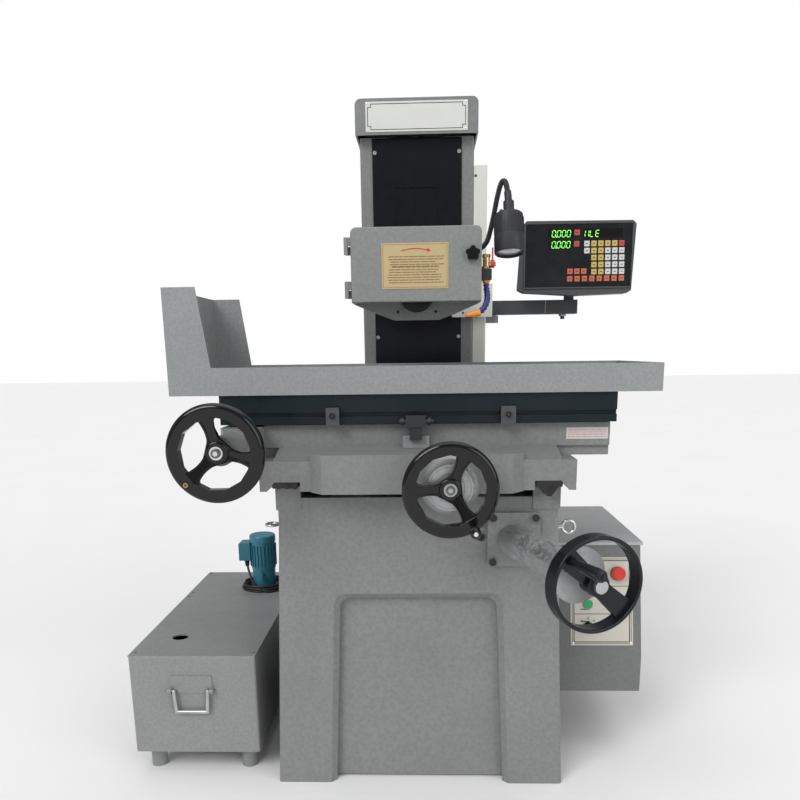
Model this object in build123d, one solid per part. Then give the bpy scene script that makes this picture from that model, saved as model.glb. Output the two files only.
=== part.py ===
from build123d import *

import math
import os

# Surface grinder with a base, a saddle, a long table and a wheel head on a rear column.
# Millimetres. X is to the operator's right, Y is away from the operator, Z is up.
# The origin is on the floor at the centre of the base's four floor bolts.

# ---- base -------------------------------------------------------------------
BASE_DEPTH = 860.0
BASE_FOOT_W = 706.0
BASE_TOP_W = 642.0
BASE_H = 727.0
BASE_WALL = 20.0
BASE_FRONT_WALL = 50.0
BASE_EDGE_R = 8.0
RECESS_FOOT_HALF = 208.0
RECESS_TOP_HALF = 186.0
RECESS_TOP = 483.0
RECESS_DEPTH = 30.0
RECESS_BEVEL = 13.0
RECESS_CORNER_R = 28.0
TOE_GAP = 7.0
FLOOR_BOLT_X = 560.0
FLOOR_BOLT_Y = 720.0
FLOOR_BOLT_R = 9.0
REAR_DOOR_HALF = 200.0
REAR_DOOR_LOW = 90.0
REAR_DOOR_HIGH = 560.0
SHEET = 3.0

# ---- cross ways on the base -------------------------------------------------
WAY_TOP = 756.0
WAY_SKIRT = 57.0
WAY_OUTER = 326.0
FLAT_WAY_W = 58.0
V_WAY_W = 62.0
V_GROOVE_TOP = 45.0
V_GROOVE_FLAT = 11.0
V_GROOVE_DEPTH = 22.0
V_CENTRE = 294.0
WAY_FRONT_PROUD = 3.0
SLIDE_GAP = 0.4

# ---- saddle -----------------------------------------------------------------
SADDLE_HALF = 352.0
WING_FRONT = -475.0
SADDLE_BACK = 0.0
WING_TOP = 817.0
WING_UNDER = 771.0
LIP_BOTTOM = 750.0
LIP_W = 15.0
RIB_X = 228.0
RIB_W = 33.0
CAST_WALL = 16.0
APRON_FRONT = -505.0
APRON_HALF = 236.0
APRON_FACE_HALF = 208.0
APRON_TOP = 834.0
APRON_BOTTOM = 748.0
UPPER_LEFT = -353.0
UPPER_RIGHT = 441.0
UPPER_FRONT = -385.0
UPPER_BACK = -15.0
UPPER_STEP_Z = 838.0
UPPER_STEP = 8.0
SLOPE_HALF = 320.0
SADDLE_TOP = 890.0

# ---- table ------------------------------------------------------------------
TABLE_HALF = 450.0
TABLE_FRONT = -405.0
TABLE_BACK = -15.0
TABLE_BOTTOM = 893.0
TABLE_TOP = 960.0
TABLE_WAY_W = 40.0
TABLE_WAY_H = 14.0
TABLE_WAY_FRONT = -345.0
TABLE_WAY_BACK = -60.0
WORK_LENGTH = 500.0
WORK_WIDTH = 250.0
WORK_TOP = 985.0
TEE_SLOT_W = 14.0
TEE_HEAD_W = 23.0
TEE_HEAD_H = 10.0
TEE_SLOT_DEPTH = 22.0
DOG_SLOT_Z = 915.0
DOG_SLOT_W = 10.0
DOG_SLOT_DEPTH = 8.0
RACK_CAVITY_HALF = 90.0
RACK_CAVITY_TOP = 930.0

# ---- splash guard -----------------------------------------------------------
GUARD_LEFT = -561.0
GUARD_RIGHT = 546.0
GUARD_FRONT = -414.0
GUARD_BACK = 1.0
GUARD_LOW = 1022.0
GUARD_HIGH = 1197.0
GUARD_HIGH_X = -486.0
GUARD_SLANT_X = -462.0

# ---- table drive ------------------------------------------------------------
MODULE = 2.0
PINION_TEETH = 26
PINION_X = -110.0
RACK_LENGTH = 600.0
RACK_Y = -202.0
RACK_W = 22.0
DRIVE_PULLEY_R = 10.0
DRIVEN_PULLEY_R = 20.0
BELT_T = 2.0
BELT_W = 18.0
BELT_Y = -238.0
TABLE_WHEEL_X = -411.0
TABLE_WHEEL_Y = -601.0
TABLE_WHEEL_Z = 853.0
DRIVE_SHAFT_R = 9.0

# ---- handwheels -------------------------------------------------------------
WHEEL_R = 103.0
RIM_W = 27.0
RIM_T = 24.0
HUB_R = 25.0
HUB_L = 22.0
HUB_SET = 15.0
SPOKE_W = 22.0
SPOKE_T = 13.0
HANDLE_R = 90.0
HANDLE_L = 70.0
HANDLE_RAD = 12.0
RIM_FACETS = 13
FACET_PHASE = 8.0
RUN_GAP = 0.05

# ---- cross feed -------------------------------------------------------------
CROSS_X = 72.0
CROSS_Z = 767.0
CROSS_WHEEL_Y = -569.0
CROSS_SCREW_R = 11.0
CROSS_SCREW_END = 0.0
FEED_HOUSING_R = 66.0
FEED_HOUSING_T = 12.0
DIAL_R = 50.0
DIAL_T = 22.0
NUT_Y = -230.0
NUT_L = 46.0
NUT_W = 56.0

# ---- column -----------------------------------------------------------------
COLUMN_FRONT = 70.0
COLUMN_DEPTH = 330.0
COLUMN_W = 306.0
COLUMN_TOP = 1610.0
COLUMN_WALL = 18.0
COLUMN_SLOT_HALF = 70.0
COLUMN_SLOT_LOW = 750.0
COLUMN_WAY_X = 100.0
COLUMN_WAY_W = 30.0
COLUMN_WAY_D = 34.0
COVER_HALF = 120.0
COVER_SLOT_HALF = 59.0
COVER_LOW = 765.0
CAP_TOP = 1698.0
CAP_HALF = 162.0
CAP_FRONT = 40.0
CAP_WALL = 4.0

# ---- wheel head -------------------------------------------------------------
SPINDLE_Z = 1186.0
HEAD_UP = 200.0
HEAD_DOWN = 100.0
HEAD_HALF = 92.0
HEAD_LOW = 1140.0
HEAD_HIGH = 1300.0
HEAD_FRONT = -213.0
HEAD_BACK = 46.0
NECK_HALF = 56.0
NECK_HIGH = 1280.0
CARRIAGE_FRONT = 92.0
CARRIAGE_BACK = 300.0
CARRIAGE_LOW = 1100.0
MOTOR_BORE_R = 40.0
SPINDLE_R = 17.0
ARBOR_R = 15.875
ARBOR_SEAT_R = 18.0
NOSE_OUT = 30.0
ARBOR_L = 34.0
FLANGE_R = 42.0
FLANGE_T = 16.0
BEARING_R = 31.0
BEARING_W = 18.0
CURTAIN_HALF = 66.0
CURTAIN_LOW = 854.0
CURTAIN_HIGH = 1488.0

# ---- wheel guard ------------------------------------------------------------
CASE_HALF = 151.0
CASE_LOW = 1165.0
CASE_HIGH = 1331.0
CASE_BACK = -213.0
CASE_FRONT = -282.0
CASE_SHEET = 6.0
CASE_CORNER_R = 14.0
CHIN_MID_X = 98.0
CHIN_MID_Z = 1143.0
CHIN_HALF = 54.0
CHIN_LOW = 1127.0
DOOR_FRONT = -300.0
DOOR_SHEET = 4.0
HINGE_X = -162.0
HINGE_Y = -291.0
HINGE_R = 5.0
HINGE_HEIGHTS = (1194.0, 1291.0)
HINGE_L = 38.0
KNOB_X = 130.0
KNOB_Z = 1269.0
KNOB_R = 17.0

# ---- elevating drive --------------------------------------------------------
ELEV_YAW = 18.6
ELEV_X = 218.0
ELEV_Z = 626.0
ELEV_PLATE_W = 120.0
ELEV_PLATE_H = 126.0
ELEV_PLATE_T = 12.0
ELEV_TUBE_R = 39.0
ELEV_TUBE_END_R = 34.0
ELEV_TUBE_L = 282.0
ELEV_BORE_R = 20.0
ELEV_SHAFT_R = 12.0
ELEV_DIAL_R = 57.0
ELEV_DIAL_T = 22.0
ELEV_WHEEL_R = 94.0
ELEV_RIM_W = 35.0
ELEV_RIM_T = 8.0
ELEV_WHEEL_AT = 362.0
ELEV_HANDLE_R = 76.0
ELEV_HANDLE_L = 118.0
ELEV_SCREW_R = 15.0
ELEV_NUT_R = 30.0
BEVEL_SMALL_R = 20.0
BEVEL_LARGE_R = 40.0
BEVEL_FACE = 12.0

# ---- right side: scale, lamp, coolant, display --------------------------------
SCALE_W = 36.0
SCALE_D = 34.0
SCALE_LOW = 1010.0
SCALE_HIGH = 1538.0
BRACKET_RIGHT = 205.0
BRACKET_LEFT = 56.0
BRACKET_LOW = 1144.0
BRACKET_HIGH = 1232.0
BRACKET_Y = 47.0
ARM_PIVOT_X = 213.0
ARM_PIVOT_Y = 130.0
ARM_END_X = 428.0
ARM_LOW = 1152.0
ARM_HIGH = 1190.0
ARM_D = 40.0
DRO_LEFT = 285.0
DRO_RIGHT = 587.0
DRO_LOW = 1200.0
DRO_HIGH = 1390.0
DRO_FRONT = 44.0
DRO_D = 46.0

# ---- cabinet ----------------------------------------------------------------
CAB_LEFT = 358.0
CAB_RIGHT = 586.0
CAB_TOP = 555.0
CAB_TOP_FRONT = -180.0
CAB_SLOPE_LOW = 262.0
CAB_LOW_FRONT = -250.0
CAB_BOTTOM = 166.0
CAB_BACK = 300.0
CAB_SHEET = 3.0
CAB_DOOR_GAP = 3.0
CAB_HINGE_R = 4.5
CAB_HINGE_X = CAB_RIGHT + 3.0
CAB_HINGE_Y = CAB_BACK - 16.0

# ---- coolant tank and pump -----------------------------------------------------
TANK_LEFT = -727.0
TANK_RIGHT = -407.0
TANK_FRONT = -390.0
TANK_BACK = 354.0
TANK_BOTTOM = 60.0
TANK_TOP = 318.0
TANK_SHEET = 3.0
LID_SPLIT = 104.0
LID_T = 4.0
RETURN_X = -634.0
RETURN_Y = -260.0
RETURN_R = 21.0
PUMP_X = -500.0
PUMP_Y = 185.0
PUMP_MOTOR_R = 38.0
PUMP_MOTOR_LOW = 388.0
PUMP_MOTOR_TOP = 497.0
PUMP_BELL_R = 36.0
PUMP_BOX_LOW = 416.0
PUMP_BOX_H = 56.0
PUMP_FLANGE_HALF = 38.0
PUMP_NECK_R = 27.0
BAIL_X = -571.0
BAIL_HALF = 43.0
BAIL_PIVOT_Z = 232.0
BAIL_R = 5.0
BAIL_DROP = 56.0

CABLE_R = 4.0
CABLE_ROUTE = [
    (-553.0, 185.0, 412.0),
    (-553.0, 185.0, 394.0),
    (-547.0, 178.0, 374.0),
    (-537.0, 163.0, 357.0),
    (-528.0, 145.0, 344.0),
    (-515.0, 130.0, 335.0),
    (-500.0, 121.5, 331.0),
]
COIL_MEAN_R = 62.0
COIL_TUBE_R = 15.0


def block(x0, x1, y0, y1, z0, z1):
    middle = Pos((x0 + x1) / 2, (y0 + y1) / 2, (z0 + z1) / 2)
    return middle * Box(x1 - x0, y1 - y0, z1 - z0)


def rod(start, end, radius):
    axis = Vector(*end) - Vector(*start)
    shaft = Cylinder(radius, axis.length, align=(Align.CENTER, Align.CENTER, Align.MIN))
    return Plane(origin=start, z_dir=axis) * shaft


def pipe(start, end, outer, inner):
    return rod(start, end, outer) - rod(start, end, inner)


def cone(start, end, r0, r1):
    axis = Vector(*end) - Vector(*start)
    body = Cone(r0, r1, axis.length, align=(Align.CENTER, Align.CENTER, Align.MIN))
    return Plane(origin=start, z_dir=axis) * body


def prism_y(points, y0, y1):
    face = make_face(Polyline(*[(x, y0, z) for x, z in points], close=True))
    return extrude(face, amount=y1 - y0, dir=(0, 1, 0))


def prism_z(points, z0, z1):
    face = make_face(Polyline(*[(x, y, z0) for x, y in points], close=True))
    return extrude(face, amount=z1 - z0, dir=(0, 0, 1))


def prism_x(points, x0, x1):
    face = make_face(Polyline(*[(x0, y, z) for y, z in points], close=True))
    return extrude(face, amount=x1 - x0, dir=(1, 0, 0))


def group(solids):
    return Compound(children=[solid.solid() for solid in solids])


def base_half(z):
    return (BASE_FOOT_W + (BASE_TOP_W - BASE_FOOT_W) * z / BASE_H) / 2


# ---- base -------------------------------------------------------------------
def way_blocks():
    front = -BASE_DEPTH / 2 - WAY_FRONT_PROUD
    back = COLUMN_FRONT - 2
    low = WAY_TOP - WAY_SKIRT
    flat = block(-WAY_OUTER, -WAY_OUTER + FLAT_WAY_W, front, back, low, WAY_TOP)
    vee = block(WAY_OUTER - V_WAY_W, WAY_OUTER, front, back, low, WAY_TOP)
    groove = [
        (V_CENTRE - V_GROOVE_TOP / 2, WAY_TOP + 1),
        (V_CENTRE - V_GROOVE_TOP / 2, WAY_TOP),
        (V_CENTRE - V_GROOVE_FLAT / 2, WAY_TOP - V_GROOVE_DEPTH),
        (V_CENTRE + V_GROOVE_FLAT / 2, WAY_TOP - V_GROOVE_DEPTH),
        (V_CENTRE + V_GROOVE_TOP / 2, WAY_TOP),
        (V_CENTRE + V_GROOVE_TOP / 2, WAY_TOP + 1),
    ]
    return flat, vee - prism_y(groove, front - 1, back + 1)


def base_recess():
    front = -BASE_DEPTH / 2

    def outline(y, grow):
        foot, top = RECESS_FOOT_HALF + grow, RECESS_TOP_HALF + grow
        points = [(-foot, y, -1), (-top, y, RECESS_TOP + grow), (top, y, RECESS_TOP + grow), (foot, y, -1)]
        path = FilletPolyline(*points, radius=RECESS_CORNER_R)
        return make_face(path + Line((foot, y, -1), (-foot, y, -1)))

    bevel = loft([outline(front, RECESS_BEVEL), outline(front + RECESS_BEVEL, 0)])
    pocket = extrude(outline(front + RECESS_BEVEL, 0), amount=RECESS_DEPTH - RECESS_BEVEL, dir=(0, 1, 0))
    toe = block(-RECESS_FOOT_HALF, RECESS_FOOT_HALF, front - 1, BASE_DEPTH / 2 + 1, -1, TOE_GAP)
    return bevel, pocket, toe


def base():
    half_d = BASE_DEPTH / 2
    outline = [
        (-base_half(0), 0),
        (base_half(0), 0),
        (base_half(BASE_H), BASE_H),
        (-base_half(BASE_H), BASE_H),
    ]
    body = prism_y(outline, -half_d, half_d)
    upright = body.edges().filter_by(lambda edge: edge.length > 700 and abs(edge.tangent_at(0.5).Z) > 0.9)
    body = fillet(upright, BASE_EDGE_R)
    low, high = BASE_WALL, BASE_H - BASE_WALL
    cavity = [
        (-base_half(low) + BASE_WALL, low),
        (base_half(low) - BASE_WALL, low),
        (base_half(high) - BASE_WALL, high),
        (-base_half(high) + BASE_WALL, high),
    ]
    way_room = WAY_TOP - WAY_SKIRT - BASE_WALL
    body -= prism_y(cavity, -half_d + BASE_FRONT_WALL, half_d - BASE_WALL)
    body += block(-base_half(high), base_half(high), -half_d, COLUMN_FRONT, way_room, high)
    for cut in base_recess():
        body -= cut
    for way in way_blocks():
        box = way.bounding_box()
        body -= block(box.min.X, box.max.X, -half_d - 5, box.max.Y, box.min.Z, WAY_TOP)
        body += way
    body -= block(
        -REAR_DOOR_HALF, REAR_DOOR_HALF, half_d - BASE_WALL - 1, half_d + 1, REAR_DOOR_LOW, REAR_DOOR_HIGH
    )
    for x in (-FLOOR_BOLT_X / 2, FLOOR_BOLT_X / 2):
        for y in (-FLOOR_BOLT_Y / 2, FLOOR_BOLT_Y / 2):
            body -= rod((x, y, -1), (x, y, BASE_WALL + 1), FLOOR_BOLT_R)
    y = elev_screw_y()
    body += rod((0, y, BASE_H - 1), (0, y, BASE_H + 8), ELEV_NUT_R + 12)
    body -= rod((0, y, BASE_H - BASE_WALL - 1), (0, y, BASE_H + 9), ELEV_SCREW_R + RUN_GAP)
    body -= rod(elev_point(-90), elev_point(30), ELEV_BORE_R)
    return body


def base_rear_cover():
    back = BASE_DEPTH / 2
    rim = 20
    return block(
        -REAR_DOOR_HALF - rim, REAR_DOOR_HALF + rim, back,
        back + SHEET, REAR_DOOR_LOW - rim, REAR_DOOR_HIGH + rim
    )


def lifting_eyes():
    eyes = []
    for side, y, tilt in ((-1, -330, 90), (1, -370, 0)):
        wall = base_half(643) * side
        x = wall + side * 33
        ring = Pos(x, y, 643) * Rot(90 if tilt == 0 else 0, 0, 0) * Torus(15, 3.5)
        stud = rod((wall - side, y, 643), (wall + side * 18, y, 643), 5)
        stud += rod((wall - side, y, 643), (wall + side * 8, y, 643), 9)
        eyes.append(ring + stud)
    return group([eye - base_wedge() for eye in eyes])


# ---- column -----------------------------------------------------------------
def elev_point(distance):
    """Point on the elevating shaft's axis, measured outwards from the base's front face."""
    yaw = math.radians(ELEV_YAW)
    return (ELEV_X + distance * math.sin(yaw), -BASE_DEPTH / 2 - distance * math.cos(yaw), ELEV_Z)


def elev_screw_y():
    return -BASE_DEPTH / 2 + ELEV_X / math.tan(math.radians(ELEV_YAW))


def column():
    half, back = COLUMN_W / 2, COLUMN_FRONT + COLUMN_DEPTH
    body = block(-half, half, COLUMN_FRONT, back, BASE_H, COLUMN_TOP)
    upright = body.edges().filter_by(Axis.Z)
    body = fillet(upright, 6)
    body -= block(
        -half + COLUMN_WALL,
        half - COLUMN_WALL,
        COLUMN_FRONT + COLUMN_WALL,
        back - COLUMN_WALL,
        BASE_H - 1,
        COLUMN_TOP - COLUMN_WALL,
    )
    body -= block(
        -COLUMN_SLOT_HALF,
        COLUMN_SLOT_HALF,
        COLUMN_FRONT - 1,
        COLUMN_FRONT + COLUMN_WALL + 1,
        COLUMN_SLOT_LOW,
        COLUMN_TOP - COLUMN_WALL,
    )
    body -= block(
        -COLUMN_SLOT_HALF, COLUMN_SLOT_HALF, COLUMN_FRONT - 1, back - 2 * COLUMN_WALL,
        COLUMN_TOP - COLUMN_WALL - 1, COLUMN_TOP + 1,
    )
    for side in (-1, 1):
        x0, x1 = sorted((side * COLUMN_WAY_X, side * (COLUMN_WAY_X + COLUMN_WAY_W)))
        y0 = COLUMN_FRONT + COLUMN_WALL
        body += block(x0, x1, y0 - 1, y0 + COLUMN_WAY_D, BASE_H, COLUMN_TOP - COLUMN_WALL)
    boss_x = half - 1
    body += block(boss_x, ARM_PIVOT_X, ARM_PIVOT_Y - 16, ARM_PIVOT_Y + 16, ARM_LOW - 22, ARM_LOW - 2)
    body += rod((ARM_PIVOT_X, ARM_PIVOT_Y, ARM_LOW - 22), (ARM_PIVOT_X, ARM_PIVOT_Y, ARM_LOW - 2), 16)
    body += rod((ARM_PIVOT_X, ARM_PIVOT_Y, ARM_LOW - 3), (ARM_PIVOT_X, ARM_PIVOT_Y, ARM_HIGH - 8), 8)
    return body


def cover_slot_high():
    return NECK_HIGH + HEAD_UP + 5


def column_front_cover():
    y0 = COLUMN_FRONT - SHEET
    plate = block(-COVER_HALF, COVER_HALF, y0, COLUMN_FRONT, COVER_LOW, COLUMN_TOP - 2)
    low = HEAD_LOW - HEAD_DOWN - 5
    slot = block(-COVER_SLOT_HALF, COVER_SLOT_HALF, y0 - 1, COLUMN_FRONT + 1, low, cover_slot_high())
    return plate - slot


def column_cap():
    back = COLUMN_FRONT + COLUMN_DEPTH + 12
    body = block(-CAP_HALF, CAP_HALF, CAP_FRONT, back, COLUMN_TOP, CAP_TOP)
    body = fillet(body.edges().filter_by(Axis.Y).group_by(Axis.Z)[-1], 16)
    inner = block(
        -CAP_HALF + CAP_WALL, CAP_HALF - CAP_WALL, CAP_FRONT + CAP_WALL, back - CAP_WALL,
        COLUMN_TOP - 1, CAP_TOP - CAP_WALL,
    )
    inner = fillet(inner.edges().filter_by(Axis.Y).group_by(Axis.Z)[-1], 16 - CAP_WALL)
    return body - inner


def screw_at(point, direction, radius, head, socket):
    x, y, z = point
    dx, dy, dz = direction
    tip = (x + dx * head, y + dy * head, z + dz * head)
    deep = (x + dx * head / 2, y + dy * head / 2, z + dz * head / 2)
    return rod(point, tip, radius) - rod(deep, tip, socket)


def socket_screws():
    screws = []
    for z in (1093.0, 1572.0):
        for x in (-COVER_HALF + 7, COVER_HALF - 7):
            screws.append(screw_at((x, COLUMN_FRONT - SHEET, z), (0, -1, 0), 5, 4, 2.5))
    front = -BASE_DEPTH / 2 - ELEV_PLATE_T
    for dx in (-1, 1):
        for dz in (-1, 1):
            x = ELEV_X + 3 + dx * (ELEV_PLATE_W / 2 - 12)
            z = ELEV_Z + 3 + dz * (ELEV_PLATE_H / 2 - 11)
            screws.append(screw_at((x, front, z), (0, -1, 0), 8, 8, 4))
    for y in (TANK_FRONT + 20, LID_SPLIT - 20, LID_SPLIT + 20, TANK_BACK - 20):
        for x in (TANK_LEFT + 10, TANK_RIGHT - 10):
            screws.append(screw_at((x, y, TANK_TOP + LID_T), (0, 0, 1), 5, 3, 2.5))
    return group(screws)


def scale_cover():
    x0 = COLUMN_W / 2
    body = block(x0, x0 + SCALE_W, COLUMN_FRONT + 2, COLUMN_FRONT + 2 + SCALE_D, SCALE_LOW, SCALE_HIGH)
    body = fillet(body.edges().filter_by(Axis.Z).group_by(Axis.X)[-1], 4)
    gap = block(
        x0 + 3, x0 + SCALE_W - 3, COLUMN_FRONT + 5,
        COLUMN_FRONT + SCALE_D - 1, SCALE_LOW + 3, SCALE_HIGH - 3
    )
    return body - gap


# ---- elevating drive --------------------------------------------------------
def elevating_tube():
    front = -BASE_DEPTH / 2
    cx, cz = ELEV_X + 3, ELEV_Z + 3
    plate = block(
        cx - ELEV_PLATE_W / 2, cx + ELEV_PLATE_W / 2, front - ELEV_PLATE_T, front,
        cz - ELEV_PLATE_H / 2, cz + ELEV_PLATE_H / 2,
    )
    plate = fillet(plate.edges().filter_by(Axis.Y), 8)
    tube = cone(elev_point(0), elev_point(ELEV_TUBE_L), ELEV_TUBE_R, ELEV_TUBE_END_R)
    spread = block(cx - 200, cx + 200, front, front + 200, cz - 200, cz + 200)
    tube -= spread
    bore = rod(elev_point(-60), elev_point(ELEV_TUBE_L + 1), ELEV_BORE_R)
    sleeve = pipe(
        elev_point(ELEV_TUBE_L - 30), elev_point(ELEV_TUBE_L), ELEV_BORE_R, ELEV_SHAFT_R + RUN_GAP
    )
    return plate + tube - bore + sleeve


def elevating_shaft():
    """Shaft with its bevel gear, dial and wheel seat; its axis meets the screw's at one height."""
    outward = Vector(*elev_point(1)) - Vector(*elev_point(0))
    crossing = Vector(0, elev_screw_y(), ELEV_Z)
    inner = crossing + outward * (BEVEL_LARGE_R - BEVEL_FACE)
    outer = crossing + outward * BEVEL_LARGE_R
    tip_r = BEVEL_SMALL_R * (1 - BEVEL_FACE / BEVEL_LARGE_R) - SLIDE_GAP
    gear = cone(inner, outer, tip_r, BEVEL_SMALL_R - SLIDE_GAP)
    hub = rod(outer, outer + outward * 12, BEVEL_SMALL_R - 3)
    shaft = rod(inner, elev_point(ELEV_WHEEL_AT + 8), ELEV_SHAFT_R)
    dial = rod(elev_point(ELEV_TUBE_L + 2), elev_point(ELEV_TUBE_L + 2 + ELEV_DIAL_T), ELEV_DIAL_R)
    nose = rod(elev_point(ELEV_WHEEL_AT + 8), elev_point(ELEV_WHEEL_AT + 20), ELEV_SHAFT_R - 3)
    nut = rod(elev_point(ELEV_WHEEL_AT + 17.5), elev_point(ELEV_WHEEL_AT + 28), 13)
    return gear + hub + shaft + dial + nose + nut


def elevating_screw():
    y = elev_screw_y()
    top = COLUMN_TOP - COLUMN_WALL - 30
    body = rod((0, y, ELEV_Z - BEVEL_SMALL_R - 16), (0, y, top), ELEV_SCREW_R)
    low = ELEV_Z - BEVEL_SMALL_R
    face = BEVEL_FACE * BEVEL_SMALL_R / BEVEL_LARGE_R
    tip_r = BEVEL_LARGE_R - BEVEL_FACE
    gear = cone((0, y, low), (0, y, low + face), BEVEL_LARGE_R - SLIDE_GAP, tip_r - SLIDE_GAP)
    hub = rod((0, y, low - 12), (0, y, low), BEVEL_LARGE_R - 6)
    gear -= rod((0, y, low + 1), (0, y, low + 30), ELEV_SCREW_R + 1)
    gear += rod((0, y, low), (0, y, low + 1.5), BEVEL_LARGE_R - BEVEL_FACE)
    return body + gear + hub


def wheel_window(radius, first, last):
    """Opening between two spokes: faceted along the rim, rounded where it meets them."""
    outer = radius - RIM_W
    flat = outer * math.cos(math.pi / RIM_FACETS)

    def beside(angle, distance, offset):
        a = math.radians(angle)
        return (
            distance * math.cos(a) - offset * math.sin(a), distance * math.sin(a) + offset * math.cos(a)
        )

    corners = [beside(first, flat, SPOKE_W * 0.62)]
    step = 360 / RIM_FACETS
    for i in range(2 * RIM_FACETS):
        angle = FACET_PHASE + i * step
        if first + 22 < angle < last - 22:
            corners.append(beside(angle, outer, 0))
    corners.append(beside(last, flat, -SPOKE_W * 0.62))
    waist = [beside(last, radius * 0.5, -SPOKE_W * 0.42), beside(first, radius * 0.5, SPOKE_W * 0.42)]
    inner = [beside(last, HUB_R + 3, -SPOKE_W * 0.6), beside(first, HUB_R + 3, SPOKE_W * 0.6)]
    opening = make_face(Polyline(*corners, waist[0], *inner, waist[1], close=True))
    for points, size in (((corners[0], corners[-1]), 8), (waist, 25), (inner, 5)):
        near = []
        for p in points:
            near.append(min(opening.vertices(), key=lambda v, p=p: math.hypot(v.X - p[0], v.Y - p[1])))
        opening = fillet(near, size)
    return extrude(opening, amount=60, both=True)


def handwheel(radius, hub_bore, spokes):
    """Dished wheel about +Z, front face up: rim, hub behind it, and a web with a window between spokes."""
    rim = Cylinder(radius, RIM_T)
    rim = fillet(rim.edges().filter_by(GeomType.CIRCLE), RIM_T * 0.42)
    hole = extrude(
        RegularPolygon(radius - RIM_W, RIM_FACETS, rotation=FACET_PHASE), amount=RIM_T, both=True
    )
    reach = radius - RIM_W + 6
    web = [
        (HUB_R - 4, -HUB_SET - SPOKE_T / 2),
        (reach, -SPOKE_T / 2),
        (reach, SPOKE_T / 2),
        (HUB_R - 4, -HUB_SET + SPOKE_T / 2),
    ]
    dish = revolve(make_face(Polyline(*[(r, 0, z) for r, z in web], close=True)), Axis.Z)
    angles = sorted(angle % 360 for angle in spokes)
    for first, last in zip(angles, angles[1:] + [angles[0] + 360]):
        dish -= wheel_window(radius, first, last)
    hub = Pos(0, 0, -HUB_SET) * Cylinder(HUB_R, HUB_L)
    hub = fillet(hub.edges().filter_by(GeomType.CIRCLE).group_by(Axis.Z)[-1], 5)
    return (rim - hole) + dish + hub - Cylinder(hub_bore, 4 * HUB_L)


def facing(point):
    """Plane at the point whose normal points at the operator."""
    return Plane(origin=point, x_dir=(1, 0, 0), z_dir=(0, -1, 0))


def elev_plane(distance):
    yaw = math.radians(ELEV_YAW)
    x_dir = (math.cos(yaw), math.sin(yaw), 0)
    return Plane(origin=elev_point(distance), x_dir=x_dir, z_dir=(math.sin(yaw), -math.cos(yaw), 0))


def elevating_handwheel():
    rim = Cylinder(ELEV_WHEEL_R, ELEV_RIM_W) - Cylinder(ELEV_WHEEL_R - ELEV_RIM_T, ELEV_RIM_W + 2)
    rim = fillet(rim.edges().filter_by(GeomType.CIRCLE), 3)
    reach = ELEV_WHEEL_R - 2
    arm = [
        (-reach, -22), (-30, -17), (30, -17), (reach, -22),
        (reach, 22), (30, 17), (-30, 17), (-reach, 22),
    ]
    web = Rot(0, 0, -42) * prism_z(arm, -7, 7)
    web = web & Cylinder(ELEV_WHEEL_R - 2, 60)
    hub = Cylinder(22, 34)
    wheel = rim + web + hub - Cylinder(ELEV_SHAFT_R, 80)
    pin = Rot(0, 0, -42) * Pos(-ELEV_HANDLE_R, 0, 7) * Cylinder(
        5, ELEV_HANDLE_L, align=(Align.CENTER, Align.CENTER, Align.MIN)
    )
    return elev_plane(ELEV_WHEEL_AT) * (wheel + pin)


def grip(length, radius, pin_r):
    """Revolving grip about +Z, waisted near the wheel and swelling towards its end."""
    profile = [
        (pin_r, 0),
        (radius * 0.72, 0),
        (radius * 0.66, length * 0.2),
        (radius * 0.86, length * 0.55),
        (radius, length * 0.8),
        (radius * 0.92, length * 0.94),
        (radius * 0.6, length),
        (pin_r, length),
    ]
    face = make_face(Polyline(*[(r, 0, z) for r, z in profile], close=True))
    return revolve(face, Axis.Z)


def elevating_handle():
    place = Rot(0, 0, -42) * Pos(-ELEV_HANDLE_R, 0, 8)
    return elev_plane(ELEV_WHEEL_AT) * place * grip(ELEV_HANDLE_L - 3, HANDLE_RAD, 5 + RUN_GAP)


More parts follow.
